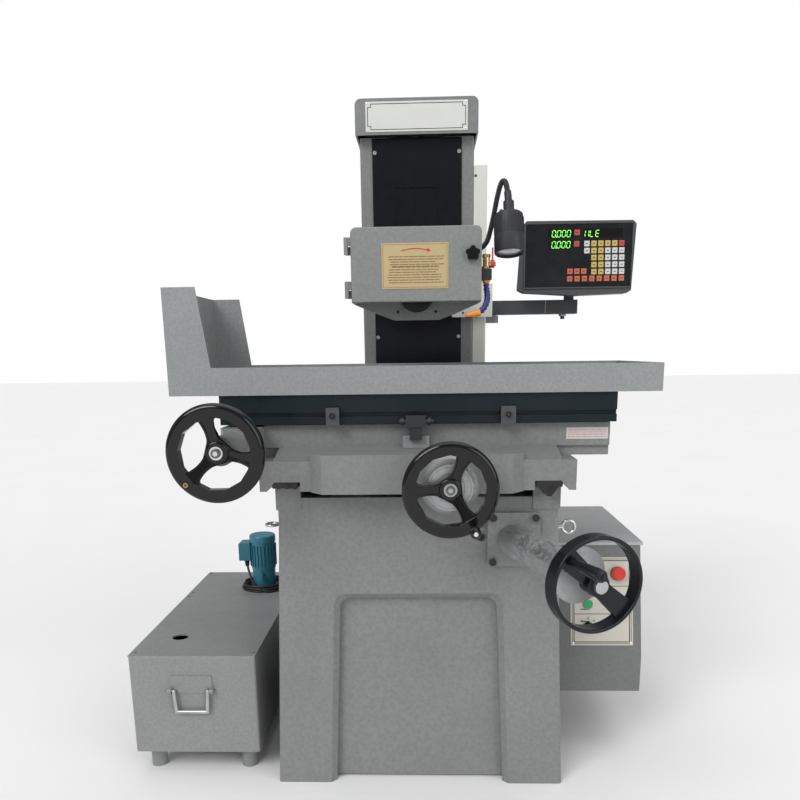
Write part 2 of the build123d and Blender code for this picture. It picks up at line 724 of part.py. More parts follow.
# ---- saddle -----------------------------------------------------------------
def saddle():
    wing = [
        (-SADDLE_HALF, LIP_BOTTOM),
        (-SADDLE_HALF + LIP_W, LIP_BOTTOM),
        (-SADDLE_HALF + LIP_W + WING_UNDER - LIP_BOTTOM - 3, WING_UNDER),
        (-RIB_X - RIB_W, WING_UNDER),
        (-RIB_X - RIB_W, LIP_BOTTOM),
        (-RIB_X, LIP_BOTTOM),
        (-RIB_X, WING_TOP - CAST_WALL),
        (RIB_X, WING_TOP - CAST_WALL),
        (RIB_X, LIP_BOTTOM),
        (RIB_X + RIB_W, LIP_BOTTOM),
        (RIB_X + RIB_W, WING_UNDER),
        (SADDLE_HALF - LIP_W - WING_UNDER + LIP_BOTTOM + 3, WING_UNDER),
        (SADDLE_HALF - LIP_W, LIP_BOTTOM),
        (SADDLE_HALF, LIP_BOTTOM),
        (SADDLE_HALF, WING_TOP),
        (-SADDLE_HALF, WING_TOP),
    ]
    body = prism_y(wing, WING_FRONT, SADDLE_BACK)
    plan = [
        (-APRON_HALF, WING_FRONT),
        (-APRON_FACE_HALF, APRON_FRONT),
        (APRON_FACE_HALF, APRON_FRONT),
        (APRON_HALF, WING_FRONT),
    ]
    body += prism_z(plan, APRON_BOTTOM, APRON_TOP) + block(
        -APRON_HALF, APRON_HALF, WING_FRONT, UPPER_FRONT + 20, WING_TOP - CAST_WALL, APRON_TOP
    )
    body += block(UPPER_LEFT, UPPER_RIGHT, UPPER_FRONT, UPPER_BACK, UPPER_STEP_Z, SADDLE_TOP)
    slope = [
        (WING_FRONT, WING_TOP - 1),
        (WING_FRONT, WING_TOP),
        (UPPER_FRONT + 9, UPPER_STEP_Z + 4),
        (UPPER_FRONT + 9, WING_TOP - 1),
    ]
    body += prism_x(slope, -SLOPE_HALF, SLOPE_HALF)
    step_front = UPPER_FRONT + UPPER_STEP
    body += block(UPPER_LEFT, UPPER_RIGHT, step_front, UPPER_BACK, WING_TOP - 2, UPPER_STEP_Z)
    body -= block(
        UPPER_LEFT + CAST_WALL, UPPER_RIGHT - CAST_WALL, step_front + CAST_WALL, UPPER_BACK - CAST_WALL,
        WING_TOP, SADDLE_TOP - CAST_WALL,
    )
    for y in (TABLE_WAY_FRONT, TABLE_WAY_BACK):
        body += block(
            UPPER_LEFT, UPPER_RIGHT, y - TABLE_WAY_W / 2,
            y + TABLE_WAY_W / 2, SADDLE_TOP, SADDLE_TOP + TABLE_WAY_H
        )
    body += saddle_shoes()
    body -= rod(
        (CROSS_X, APRON_FRONT - 1, CROSS_Z), (CROSS_X, WING_FRONT + 40, CROSS_Z), CROSS_SCREW_R + RUN_GAP
    )
    pinion_z = pinion_centre_z()
    belt_front = BELT_Y - BELT_W / 2 - 5
    body -= block(UPPER_LEFT - 1, PINION_X + 32, belt_front, BELT_Y + BELT_W / 2 + 3, 828, SADDLE_TOP + 1)
    body -= block(
        PINION_X - 32, PINION_X + 32, BELT_Y,
        RACK_Y + RACK_W / 2 + 6, SADDLE_TOP - CAST_WALL - 1, SADDLE_TOP + 1
    )
    back_bearing = RACK_Y + RACK_W / 2 + 8
    body += block(PINION_X - 20, PINION_X + 20, back_bearing, back_bearing + 20, WING_TOP - 1, SADDLE_TOP)
    body -= rod(
        (PINION_X, back_bearing - 4, pinion_z), (PINION_X, back_bearing + 21, pinion_z),
        DRIVE_SHAFT_R + RUN_GAP,
    )
    return body


def saddle_shoes():
    """Shoes that ride on the base's flat way and in its V way."""
    low = WAY_TOP + SLIDE_GAP
    flat = block(-WAY_OUTER, -WAY_OUTER + FLAT_WAY_W, WING_FRONT + 10, SADDLE_BACK, low, WING_UNDER + 1)
    vee = block(WAY_OUTER - V_WAY_W, WAY_OUTER - 2, WING_FRONT + 10, SADDLE_BACK, low, WING_UNDER + 1)
    tongue = [
        (V_CENTRE - V_GROOVE_TOP / 2 + 1.5, low + 1),
        (V_CENTRE - V_GROOVE_TOP / 2 + 1.5, low),
        (V_CENTRE - V_GROOVE_FLAT / 2 + 0.6, WAY_TOP - V_GROOVE_DEPTH + 1.2),
        (V_CENTRE + V_GROOVE_FLAT / 2 - 0.6, WAY_TOP - V_GROOVE_DEPTH + 1.2),
        (V_CENTRE + V_GROOVE_TOP / 2 - 1.5, low),
        (V_CENTRE + V_GROOVE_TOP / 2 - 1.5, low + 1),
    ]
    return flat + vee + prism_y(tongue, WING_FRONT + 10, SADDLE_BACK)


def drive_housing():
    left = TABLE_WHEEL_X - 36
    plan = [
        (left, -420.0),
        (left + 14, -450.0),
        (UPPER_LEFT, -450.0),
        (UPPER_LEFT, -190.0),
        (left, -190.0),
    ]
    low, high = TABLE_WHEEL_Z - 38, SADDLE_TOP - 2
    body = prism_z(plan, low, high)
    body += rod(
        (TABLE_WHEEL_X, TABLE_WHEEL_Y + 34, TABLE_WHEEL_Z), (TABLE_WHEEL_X, -440, TABLE_WHEEL_Z), 31
    )
    body -= block(
        left + 6, UPPER_LEFT + 1, BELT_Y - BELT_W / 2 - 4, BELT_Y + BELT_W / 2 + 4, low + 6, high - 6
    )
    return body - rod(
        (TABLE_WHEEL_X, TABLE_WHEEL_Y, TABLE_WHEEL_Z),
        (TABLE_WHEEL_X, -200, TABLE_WHEEL_Z), DRIVE_SHAFT_R + RUN_GAP
    )


def pinion_centre_z():
    return TABLE_BOTTOM + 0.5 + MODULE - MODULE * PINION_TEETH / 2


def drive_belt():
    z1 = pinion_centre_z()
    dx, dz = PINION_X - TABLE_WHEEL_X, z1 - TABLE_WHEEL_Z
    slope = math.atan2(dz, dx)
    lean = math.asin((DRIVEN_PULLEY_R - DRIVE_PULLEY_R) / math.hypot(dx, dz))

    def loop(grow):
        r0, r1 = DRIVE_PULLEY_R + grow, DRIVEN_PULLEY_R + grow
        up, down = slope + math.pi / 2 + lean, slope - math.pi / 2 - lean

        def at(x, z, r, angle):
            return (x + r * math.cos(angle), BELT_Y - BELT_W / 2, z + r * math.sin(angle))

        a, b = at(TABLE_WHEEL_X, TABLE_WHEEL_Z, r0, up), at(PINION_X, z1, r1, up)
        c, d = at(PINION_X, z1, r1, down), at(TABLE_WHEEL_X, TABLE_WHEEL_Z, r0, down)
        right = ThreePointArc(b, at(PINION_X, z1, r1, slope), c)
        left = ThreePointArc(d, at(TABLE_WHEEL_X, TABLE_WHEEL_Z, r0, slope + math.pi), a)
        return extrude(make_face(Line(a, b) + right + Line(c, d) + left), amount=BELT_W, dir=(0, 1, 0))

    return loop(0.4 + BELT_T) - loop(0.4)


def feed_housing():
    front = APRON_FRONT - FEED_HOUSING_T
    ring = cone(
        (CROSS_X, APRON_FRONT, CROSS_Z), (CROSS_X, front, CROSS_Z), FEED_HOUSING_R, FEED_HOUSING_R - 6
    )
    return ring - rod(
        (CROSS_X, front - 1, CROSS_Z), (CROSS_X, APRON_FRONT + 1, CROSS_Z), CROSS_SCREW_R + RUN_GAP
    )


def table_stop():
    foot = block(-31, 27, UPPER_FRONT - 14, UPPER_FRONT, UPPER_STEP_Z + 5, 864)
    neck = block(-16, 12, UPPER_FRONT - 32, UPPER_FRONT - 8, 856, 886)
    head = block(-24, 20, UPPER_FRONT - 36, TABLE_FRONT - 2, 886, 912)
    bolts = rod((-40, UPPER_FRONT - 29, 898), (38, UPPER_FRONT - 29, 898), 6)
    return foot + neck + head + bolts


# ---- table ------------------------------------------------------------------
def table():
    body = block(-TABLE_HALF, TABLE_HALF, TABLE_FRONT, TABLE_BACK, TABLE_BOTTOM, TABLE_TOP)
    middle = (TABLE_FRONT + TABLE_BACK) / 2
    half_w = WORK_WIDTH / 2
    body += block(-WORK_LENGTH / 2, WORK_LENGTH / 2, middle - half_w, middle + half_w, TABLE_TOP, WORK_TOP)
    for y in (TABLE_WAY_FRONT, TABLE_WAY_BACK):
        half = TABLE_WAY_W / 2 + SLIDE_GAP
        body -= block(
            -TABLE_HALF - 1, TABLE_HALF + 1, y - half, y + half,
            TABLE_BOTTOM - 1, SADDLE_TOP + TABLE_WAY_H + SLIDE_GAP,
        )
    wall = 20
    body -= block(
        -TABLE_HALF + wall, TABLE_HALF - wall, RACK_Y - RACK_CAVITY_HALF, RACK_Y + RACK_CAVITY_HALF,
        TABLE_BOTTOM - 1, RACK_CAVITY_TOP,
    )
    slot_z = WORK_TOP - TEE_SLOT_DEPTH
    body -= block(
        -TABLE_HALF, TABLE_HALF, middle - TEE_SLOT_W / 2, middle + TEE_SLOT_W / 2, slot_z, WORK_TOP + 1
    )
    body -= block(
        -TABLE_HALF, TABLE_HALF, middle - TEE_HEAD_W / 2,
        middle + TEE_HEAD_W / 2, slot_z, slot_z + TEE_HEAD_H
    )
    body -= block(
        -TABLE_HALF - 1, TABLE_HALF + 1, TABLE_FRONT - 1, TABLE_FRONT + DOG_SLOT_DEPTH,
        DOG_SLOT_Z - DOG_SLOT_W / 2, DOG_SLOT_Z + DOG_SLOT_W / 2,
    )
    return body


def table_rack():
    pitch = math.pi * MODULE
    line = TABLE_BOTTOM + 0.5 + MODULE
    tip, root = line - MODULE, line + MODULE * 1.25
    half_tip, half_root = pitch * 0.5 * 0.26, pitch * 0.5 * 0.66
    left, right = PINION_X - RACK_LENGTH / 2, PINION_X + RACK_LENGTH / 2
    count = int(RACK_LENGTH / pitch) - 1
    points = [(left, RACK_CAVITY_TOP), (left, root)]
    for i in range(count):
        x = PINION_X + (i - (count - 1) / 2 + (0.5 if count % 2 else 0)) * pitch
        points += [(x - half_root, root), (x - half_tip, tip), (x + half_tip, tip), (x + half_root, root)]
    points += [(right, root), (right, RACK_CAVITY_TOP)]
    return prism_y(points, RACK_Y - RACK_W / 2, RACK_Y + RACK_W / 2)


def splash_guard():
    z0 = TABLE_TOP
    floor = block(GUARD_LEFT, GUARD_RIGHT, GUARD_FRONT, GUARD_BACK, z0, z0 + SHEET)
    middle = (TABLE_FRONT + TABLE_BACK) / 2
    floor -= block(
        -WORK_LENGTH / 2, WORK_LENGTH / 2, middle - WORK_WIDTH / 2,
        middle + WORK_WIDTH / 2, z0 - 1, z0 + SHEET + 1
    )
    side = [
        (GUARD_LEFT, z0),
        (GUARD_RIGHT, z0),
        (GUARD_RIGHT, GUARD_LOW),
        (GUARD_SLANT_X, GUARD_LOW),
        (GUARD_HIGH_X, GUARD_HIGH),
        (GUARD_LEFT, GUARD_HIGH),
    ]
    front = prism_y(side, GUARD_FRONT, GUARD_FRONT + SHEET)
    back = prism_y(side, GUARD_BACK - SHEET, GUARD_BACK)
    left = block(GUARD_LEFT, GUARD_LEFT + SHEET, GUARD_FRONT, GUARD_BACK, z0, GUARD_HIGH)
    right = block(GUARD_RIGHT - SHEET, GUARD_RIGHT, GUARD_FRONT, GUARD_BACK, z0, GUARD_LOW)
    return floor + front + back + left + right


def table_dog(x, width):
    body = block(x - width / 2, x + width / 2, TABLE_FRONT - 16, TABLE_FRONT - 0.5, 890, 931)
    body = fillet(body.edges().filter_by(Axis.Y), 3)
    key = block(
        x - width / 2 + 3, x + width / 2 - 3, TABLE_FRONT - 1, TABLE_FRONT + DOG_SLOT_DEPTH - 1,
        DOG_SLOT_Z - DOG_SLOT_W / 2 + 0.5, DOG_SLOT_Z + DOG_SLOT_W / 2 - 0.5,
    )
    screw = rod((x, TABLE_FRONT - 20, DOG_SLOT_Z - 2), (x, TABLE_FRONT - 14, DOG_SLOT_Z - 2), 7)
    return body + key + screw


# ---- table and cross feed drives -----------------------------------------------
def table_handwheel():
    wheel = handwheel(WHEEL_R, DRIVE_SHAFT_R, (102, -10, 225))
    seat = Rot(0, 0, 225) * Pos(HANDLE_R, 0, 0) * Cylinder(5, 4 * RIM_T)
    return facing((TABLE_WHEEL_X, TABLE_WHEEL_Y, TABLE_WHEEL_Z)) * (wheel - seat)


def table_drive_shaft():
    x, z = TABLE_WHEEL_X, TABLE_WHEEL_Z
    hub_front = TABLE_WHEEL_Y + HUB_SET - HUB_L / 2
    shaft = rod((x, hub_front, z), (x, -205, z), DRIVE_SHAFT_R)
    pulley = rod((x, BELT_Y - BELT_W / 2, z), (x, BELT_Y + BELT_W / 2, z), DRIVE_PULLEY_R)
    washer = rod((x, hub_front - 3, z), (x, hub_front, z), 14)
    bolt = rod((x, hub_front - 10, z), (x, hub_front - 3, z), 8)
    return shaft + pulley + washer + bolt


def drive_pinion():
    z = pinion_centre_z()
    pitch_r = MODULE * PINION_TEETH / 2
    root_r, tip_r = pitch_r - MODULE * 1.25, pitch_r + MODULE * 0.9
    step = 2 * math.pi / PINION_TEETH
    points = []
    for i in range(PINION_TEETH):
        middle = math.pi / 2 + i * step
        for radius, lean in ((root_r, -0.33), (tip_r, -0.11), (tip_r, 0.11), (root_r, 0.33)):
            angle = middle + lean * step
            points.append((PINION_X + radius * math.cos(angle), z + radius * math.sin(angle)))
    gear = prism_y(points, RACK_Y - RACK_W / 2, RACK_Y + RACK_W / 2)
    pulley = rod((PINION_X, BELT_Y - BELT_W / 2, z), (PINION_X, BELT_Y + BELT_W / 2, z), DRIVEN_PULLEY_R)
    shaft = rod(
        (PINION_X, BELT_Y - BELT_W / 2 - 2, z), (PINION_X, RACK_Y + RACK_W / 2 + 27, z), DRIVE_SHAFT_R
    )
    return gear + pulley + shaft


def cross_handwheel():
    wheel = handwheel(WHEEL_R, CROSS_SCREW_R - 2, (68, 180, -57))
    pin = Rot(0, 0, -57) * Pos(HANDLE_R, 0, RIM_T / 2 - 2) * Cylinder(
        5, HANDLE_L - 2, align=(Align.CENTER, Align.CENTER, Align.MIN)
    )
    return facing((CROSS_X, CROSS_WHEEL_Y, CROSS_Z)) * (wheel + pin)


def cross_handle():
    place = Rot(0, 0, -57) * Pos(HANDLE_R, 0, RIM_T / 2 + 1)
    return facing((CROSS_X, CROSS_WHEEL_Y, CROSS_Z)) * place * grip(HANDLE_L, HANDLE_RAD, 5 + RUN_GAP)


def cross_screw():
    x, z = CROSS_X, CROSS_Z
    hub_back = CROSS_WHEEL_Y + HUB_SET + HUB_L / 2
    hub_front = CROSS_WHEEL_Y + HUB_SET - HUB_L / 2
    dial_front = APRON_FRONT - FEED_HOUSING_T - 1 - DIAL_T
    screw = rod((x, hub_back, z), (x, CROSS_SCREW_END, z), CROSS_SCREW_R)
    nose = rod((x, hub_front, z), (x, hub_back, z), CROSS_SCREW_R - 2)
    dial = rod((x, dial_front, z), (x, dial_front + DIAL_T, z), DIAL_R)
    washer = rod((x, hub_front - 3, z), (x, hub_front, z), 14)
    bolt = rod((x, hub_front - 10, z), (x, hub_front - 3, z), 8)
    return screw + nose + dial + washer + bolt


def crossfeed_nut():
    y0, y1 = NUT_Y - NUT_L / 2, NUT_Y + NUT_L / 2
    body = block(CROSS_X - NUT_W / 2, CROSS_X + NUT_W / 2, y0, y1, BASE_H, CROSS_Z + 24)
    foot = block(CROSS_X - NUT_W, CROSS_X + NUT_W, y0, y1, BASE_H, BASE_H + 12)
    return body + foot - rod(
        (CROSS_X, y0 - 1, CROSS_Z), (CROSS_X, y1 + 1, CROSS_Z), CROSS_SCREW_R + RUN_GAP
    )


# ---- wheel head -------------------------------------------------------------
def head_casting():
    body = block(-HEAD_HALF, HEAD_HALF, HEAD_FRONT, HEAD_BACK, HEAD_LOW, HEAD_HIGH)
    body = fillet(body.edges().filter_by(Axis.Y).group_by(Axis.Z)[-1], 45)
    body = fillet(body.edges().filter_by(Axis.Y).group_by(Axis.Z)[0], 50)
    body += block(-NECK_HALF, NECK_HALF, HEAD_BACK - 1, CARRIAGE_FRONT + 1, HEAD_LOW, NECK_HIGH)
    half = COLUMN_WAY_X - SLIDE_GAP
    body += block(-half, half, CARRIAGE_FRONT, CARRIAGE_BACK, CARRIAGE_LOW, NECK_HIGH)
    z = SPINDLE_Z
    body -= rod((0, HEAD_FRONT + 26, z), (0, HEAD_BACK - 26, z), MOTOR_BORE_R)
    body -= rod((0, HEAD_FRONT - 1, z), (0, HEAD_FRONT + 27, z), BEARING_R)
    body -= rod((0, HEAD_BACK - 27, z), (0, HEAD_BACK - 4, z), BEARING_R)
    y = elev_screw_y()
    body -= rod((0, y, CARRIAGE_LOW - 1), (0, y, NECK_HIGH + 1), ELEV_NUT_R)
    body -= block(
        -half + 14, half - 14, y + ELEV_NUT_R + 14, CARRIAGE_BACK + 1, CARRIAGE_LOW + 14, NECK_HIGH - 14
    )
    return body


def elevating_nut():
    y = elev_screw_y()
    return pipe((0, y, CARRIAGE_LOW), (0, y, NECK_HIGH), ELEV_NUT_R, ELEV_SCREW_R + RUN_GAP)


def spindle_stator():
    z = SPINDLE_Z
    return pipe((0, HEAD_FRONT + 50, z), (0, HEAD_BACK - 50, z), MOTOR_BORE_R, 33)


def spindle_bearings():
    z = SPINDLE_Z
    rings = []
    for y in (HEAD_FRONT + 4, HEAD_BACK - 26):
        rings.append(pipe((0, y, z), (0, y + BEARING_W, z), BEARING_R, SPINDLE_R + RUN_GAP))
    return group(rings)


def spindle_shaft():
    z, nose_y = SPINDLE_Z, HEAD_FRONT - NOSE_OUT
    shaft = rod((0, nose_y, z), (0, HEAD_BACK - 6, z), SPINDLE_R)
    rotor = rod((0, HEAD_FRONT + 54, z), (0, HEAD_BACK - 54, z), 32)
    nose = rod((0, nose_y - ARBOR_L, z), (0, nose_y + 1, z), ARBOR_R)
    seat = rod((0, nose_y - FLANGE_T, z), (0, nose_y, z), ARBOR_SEAT_R)
    return shaft + rotor + nose + seat


def wheel_flange():
    z, back = SPINDLE_Z, HEAD_FRONT - NOSE_OUT
    disc = rod((0, back - FLANGE_T + 4, z), (0, back + 4, z), FLANGE_R)
    disc = fillet(disc.edges().filter_by(GeomType.CIRCLE), 3)
    hub = rod((0, back - FLANGE_T, z), (0, back + 12, z), 26)
    seat = rod((0, back - 60, z), (0, back, z), ARBOR_SEAT_R)
    bore = rod((0, back, z), (0, back + 20, z), SPINDLE_R)
    return disc + hub - seat - bore


def slot_curtain():
    y0, y1 = COLUMN_FRONT + 1.0, COLUMN_FRONT + 3.5
    plate = block(-CURTAIN_HALF, CURTAIN_HALF, y0, y1, CURTAIN_LOW, CURTAIN_HIGH)
    return plate - block(-NECK_HALF, NECK_HALF, y0 - 1, y1 + 1, HEAD_LOW, NECK_HIGH)


def case_outline(low):
    return [(-CASE_HALF, low), (-CASE_HALF, CASE_HIGH), (CASE_HALF, CASE_HIGH), (CASE_HALF, low)]


def wheel_guard():
    back = [
        (-CASE_HALF, CASE_HIGH),
        (-CASE_HALF, CASE_LOW),
        (-CHIN_MID_X, CHIN_MID_Z),
        (-CHIN_HALF, CHIN_LOW),
        (CHIN_HALF, CHIN_LOW),
        (CHIN_MID_X, CHIN_MID_Z),
        (CASE_HALF, CASE_LOW),
        (CASE_HALF, CASE_HIGH),
    ]
    plate = prism_y(back, CASE_BACK - CASE_SHEET, CASE_BACK)
    shell = prism_y(case_outline(CASE_LOW), CASE_FRONT, CASE_BACK)
    inner = block(
        -CASE_HALF + CASE_SHEET, CASE_HALF - CASE_SHEET, CASE_FRONT - 1, CASE_BACK - CASE_SHEET,
        CASE_LOW - 1, CASE_HIGH - CASE_SHEET,
    )
    body = plate + (shell - inner)
    top = body.edges().filter_by(Axis.Y).group_by(Axis.Z)[-1].sort_by(Axis.X)
    body = fillet([top[0], top[-1]], CASE_CORNER_R)
    body -= rod((0, CASE_BACK - 20, SPINDLE_Z), (0, CASE_BACK + 1, SPINDLE_Z), 29)
    for x in (-46, 46):
        body -= rod((x, CASE_BACK - 20, 1147), (x, CASE_BACK + 1, 1147), 4)
    for z in HINGE_HEIGHTS:
        leaf = block(-CASE_HALF - 3, -CASE_HALF, HINGE_Y + 9.5, HINGE_Y + 32, z - HINGE_L / 2, z)
        arm = block(HINGE_X - 2, -CASE_HALF, HINGE_Y + 9.5, HINGE_Y + 13, z - HINGE_L / 2, z)
        knuckle = rod((HINGE_X, HINGE_Y, z - HINGE_L / 2), (HINGE_X, HINGE_Y, z - 0.4), HINGE_R)
        web = block(HINGE_X - 2, HINGE_X + 2, HINGE_Y, HINGE_Y + 13, z - HINGE_L / 2, z - 0.4)
        pin = rod((HINGE_X, HINGE_Y, z - 1), (HINGE_X, HINGE_Y, z + HINGE_L / 2 - 2), 2.5)
        body += leaf + (arm - block(-300, 300, -400, 0, z - 0.4, z + 1)) + knuckle + web + pin
    return body


def guard_door():
    pan = prism_y(case_outline(CASE_LOW), DOOR_FRONT, CASE_FRONT - 0.5)
    top = pan.edges().filter_by(Axis.Y).group_by(Axis.Z)[-1]
    pan = fillet(top, CASE_CORNER_R)
    front = pan.faces().sort_by(Axis.Y)[0]
    pan = fillet(front.edges(), 3)
    pan -= block(
        -CASE_HALF + DOOR_SHEET, CASE_HALF - DOOR_SHEET, DOOR_FRONT + DOOR_SHEET, CASE_FRONT,
        CASE_LOW + DOOR_SHEET, CASE_HIGH - DOOR_SHEET,
    )
    for z in HINGE_HEIGHTS:
        high = z + HINGE_L / 2
        knuckle = rod((HINGE_X, HINGE_Y, z), (HINGE_X, HINGE_Y, high), HINGE_R)
        leaf = block(HINGE_X, -CASE_HALF + 1, HINGE_Y - 2, HINGE_Y + 1, z, high)
        hole = rod((HINGE_X, HINGE_Y, z - 1), (HINGE_X, HINGE_Y, high - 1.5), 2.5 + RUN_GAP)
        pan += knuckle + leaf
        pan -= hole
    boss = rod((KNOB_X, DOOR_FRONT + 1, KNOB_Z), (KNOB_X, CASE_FRONT - 1, KNOB_Z), 11)
    return pan + boss - rod((KNOB_X, DOOR_FRONT - 1, KNOB_Z), (KNOB_X, CASE_FRONT, KNOB_Z), 4 + RUN_GAP)


def door_knob():
    front = DOOR_FRONT - 0.5
    disc = rod((KNOB_X, front - 14, KNOB_Z), (KNOB_X, front, KNOB_Z), KNOB_R - 4)
    for i in range(5):
        angle = math.radians(90 + 72 * i)
        x, z = KNOB_X + (KNOB_R - 6) * math.cos(angle), KNOB_Z + (KNOB_R - 6) * math.sin(angle)
        disc += rod((x, front - 13, z), (x, front - 2, z), 6)
    return disc + rod((KNOB_X, front - 1, KNOB_Z), (KNOB_X, CASE_FRONT - 1.5, KNOB_Z), 4)


def scale_bracket():
    lip = block(BRACKET_LEFT, BRACKET_RIGHT, BRACKET_Y, BRACKET_Y + 4, BRACKET_LOW, BRACKET_HIGH)
    tab = block(HEAD_HALF, HEAD_HALF + 4, HEAD_BACK - 50, BRACKET_Y + 1, BRACKET_LOW, BRACKET_HIGH - 20)
    reader = block(
        BRACKET_RIGHT - 12, BRACKET_RIGHT, BRACKET_Y, BRACKET_Y + 46, BRACKET_LOW + 10, BRACKET_LOW + 50
    )
    return lip - block(-NECK_HALF, HEAD_HALF, 0, 200, 1100, 1300) + tab + reader


# ---- lamp, coolant and display -------------------------------------------------
LAMP_ROUTE = [
    (128.0, -160.0, 1290.0),
    (168.0, -165.0, 1292.0),
    (184.0, -172.0, 1352.0),
    (196.0, -180.0, 1420.0),
    (205.0, -190.0, 1448.0),
    (216.0, -200.0, 1436.0),
    (219.0, -208.0, 1392.0),
]
LAMP_R = 6.5
LAMP_BALL_R = 9.0
LAMP_TOP = (219.0, -212.0, 1368.0)
LAMP_END = (221.0, -232.0, 1276.0)
LAMP_HEAD_R = 36.0


def tube_along(points, radius):
    """Round tube through the points with arcs as large as each pair of runs allows."""
    radii = []
    for a, b, c in zip(points, points[1:], points[2:]):
        first, second = Vector(*b) - Vector(*a), Vector(*c) - Vector(*b)
        turn = math.radians(first.get_angle(second))
        radii.append(0.45 * min(first.length, second.length) / math.tan(turn / 2))
    path = FilletPolyline(*points, radius=radii)
    section = Plane(origin=points[0], z_dir=Vector(*points[1]) - Vector(*points[0])) * Circle(radius)
    return sweep(section, path=path), path, radii


def lamp_gooseneck():
    neck, _, _ = tube_along(LAMP_ROUTE, LAMP_R)
    foot = rod((HEAD_HALF, -160, 1290), (112, -160, 1290), 16)
    link = rod((112, -160, 1290), (129, -160, 1290), 9)
    return foot + link + neck + Pos(*LAMP_ROUTE[-1]) * Sphere(LAMP_BALL_R)


def lamp_head():
    top, end, ball = Vector(*LAMP_TOP), Vector(*LAMP_END), Vector(*LAMP_ROUTE[-1])
    down = (end - top).normalized()
    shell = rod(top, end, LAMP_HEAD_R) - rod(top + down * 30, end + down, LAMP_HEAD_R - 3)
    cap = rod(ball, top + down, LAMP_BALL_R + 4) - Pos(*LAMP_ROUTE[-1]) * Sphere(LAMP_BALL_R + SLIDE_GAP)
    glass = rod(end - down * 12, end - down * 8, LAMP_HEAD_R - 3)
    switch = rod(top + Vector(-18, -4, -2), top + Vector(-18, -4, 8), 5)
    return shell + cap + glass + switch


VALVE_X = 164.0
VALVE_Y = -262.0
VALVE_Z = 1250.0


def coolant_valve():
    bracket = block(CASE_HALF, VALVE_X + 12, VALVE_Y - 12, VALVE_Y + 12, 1214, 1238)
    body = rod((VALVE_X, VALVE_Y, 1238), (VALVE_X, VALVE_Y, 1272), 8)
    stem = rod((VALVE_X, VALVE_Y, VALVE_Z), (VALVE_X + 22, VALVE_Y, VALVE_Z), 5)
    return bracket + body + stem


def valve_lever():
    hub = rod((VALVE_X + 10, VALVE_Y, VALVE_Z), (VALVE_X + 19, VALVE_Y, VALVE_Z), 9)
    blade = block(VALVE_X + 13, VALVE_X + 16, VALVE_Y - 5, VALVE_Y + 5, VALVE_Z + 6, VALVE_Z + 36)
    seat = rod((VALVE_X, VALVE_Y, VALVE_Z), (VALVE_X + 30, VALVE_Y, VALVE_Z), 5 + RUN_GAP)
    return hub + blade - seat


HOSE_ROUTE = [
    (164.0, -262.0, 1213.9),
    (164.0, -262.0, 1198.0),
    (166.0, -273.0, 1182.0),
    (165.0, -288.0, 1163.0),
    (157.0, -299.0, 1146.0),
    (143.0, -304.5, 1137.0),
]


def coolant_hose():
    hose, _, _ = tube_along(HOSE_ROUTE, 6.5)
    nozzle = cone((146.0, -304.0, 1138.3), (116.0, -311.5, 1132.5), 8.0, 4.0)
    return hose + nozzle


def dro_arm():
    z0, z1 = ARM_LOW, ARM_HIGH
    y0, y1 = ARM_PIVOT_Y - ARM_D / 2, ARM_PIVOT_Y + ARM_D / 2
    body = block(ARM_PIVOT_X, ARM_END_X + 22, y0, y1, z0, z1)
    body += rod((ARM_PIVOT_X, ARM_PIVOT_Y, z0), (ARM_PIVOT_X, ARM_PIVOT_Y, z1), ARM_D / 2)
    body -= rod((ARM_PIVOT_X, ARM_PIVOT_Y, z0 - 1), (ARM_PIVOT_X, ARM_PIVOT_Y, z1 - 7), 8 + RUN_GAP)
    body += rod((ARM_END_X, ARM_PIVOT_Y, z1 - 1), (ARM_END_X, ARM_PIVOT_Y, z1 + 30), 8)
    body += rod((ARM_END_X - 16, ARM_PIVOT_Y, z0 - 14), (ARM_END_X - 16, ARM_PIVOT_Y, z0), 6)
    return body


def dro_console():
    corner = 9
    outline = [
        (DRO_LEFT, DRO_HIGH - corner),
        (DRO_LEFT + corner, DRO_HIGH),
        (DRO_RIGHT - corner, DRO_HIGH - 2),
        (DRO_RIGHT, DRO_HIGH - corner - 2),
        (DRO_RIGHT - 6, DRO_LOW + 8),
        (DRO_RIGHT - 18, DRO_LOW + 1),
        (ARM_END_X, DRO_LOW - 3),
        (DRO_LEFT + 6, DRO_LOW + 6),
        (DRO_LEFT - 10, DRO_LOW + 14),
    ]
    body = prism_y(outline, DRO_FRONT, DRO_FRONT + DRO_D)
    high = ARM_HIGH + 60
    socket = rod((ARM_END_X, ARM_PIVOT_Y, ARM_HIGH + 1), (ARM_END_X, ARM_PIVOT_Y, high), 14)
    link = block(ARM_END_X - 12, ARM_END_X + 12, DRO_FRONT + DRO_D - 1, ARM_PIVOT_Y, ARM_HIGH + 12, high)
    hole = rod((ARM_END_X, ARM_PIVOT_Y, ARM_HIGH), (ARM_END_X, ARM_PIVOT_Y, ARM_HIGH + 31), 8 + RUN_GAP)
    return body + (link + socket - hole)


# ---- cabinet ----------------------------------------------------------------
def cabinet_outline(inset):
    return [
        (CAB_TOP_FRONT + inset, CAB_TOP - inset),
        (CAB_LOW_FRONT + inset, CAB_SLOPE_LOW),
        (CAB_LOW_FRONT + inset, CAB_BOTTOM + inset),
        (CAB_BACK - inset, CAB_BOTTOM + inset),
        (CAB_BACK - inset, CAB_TOP - inset),
    ]


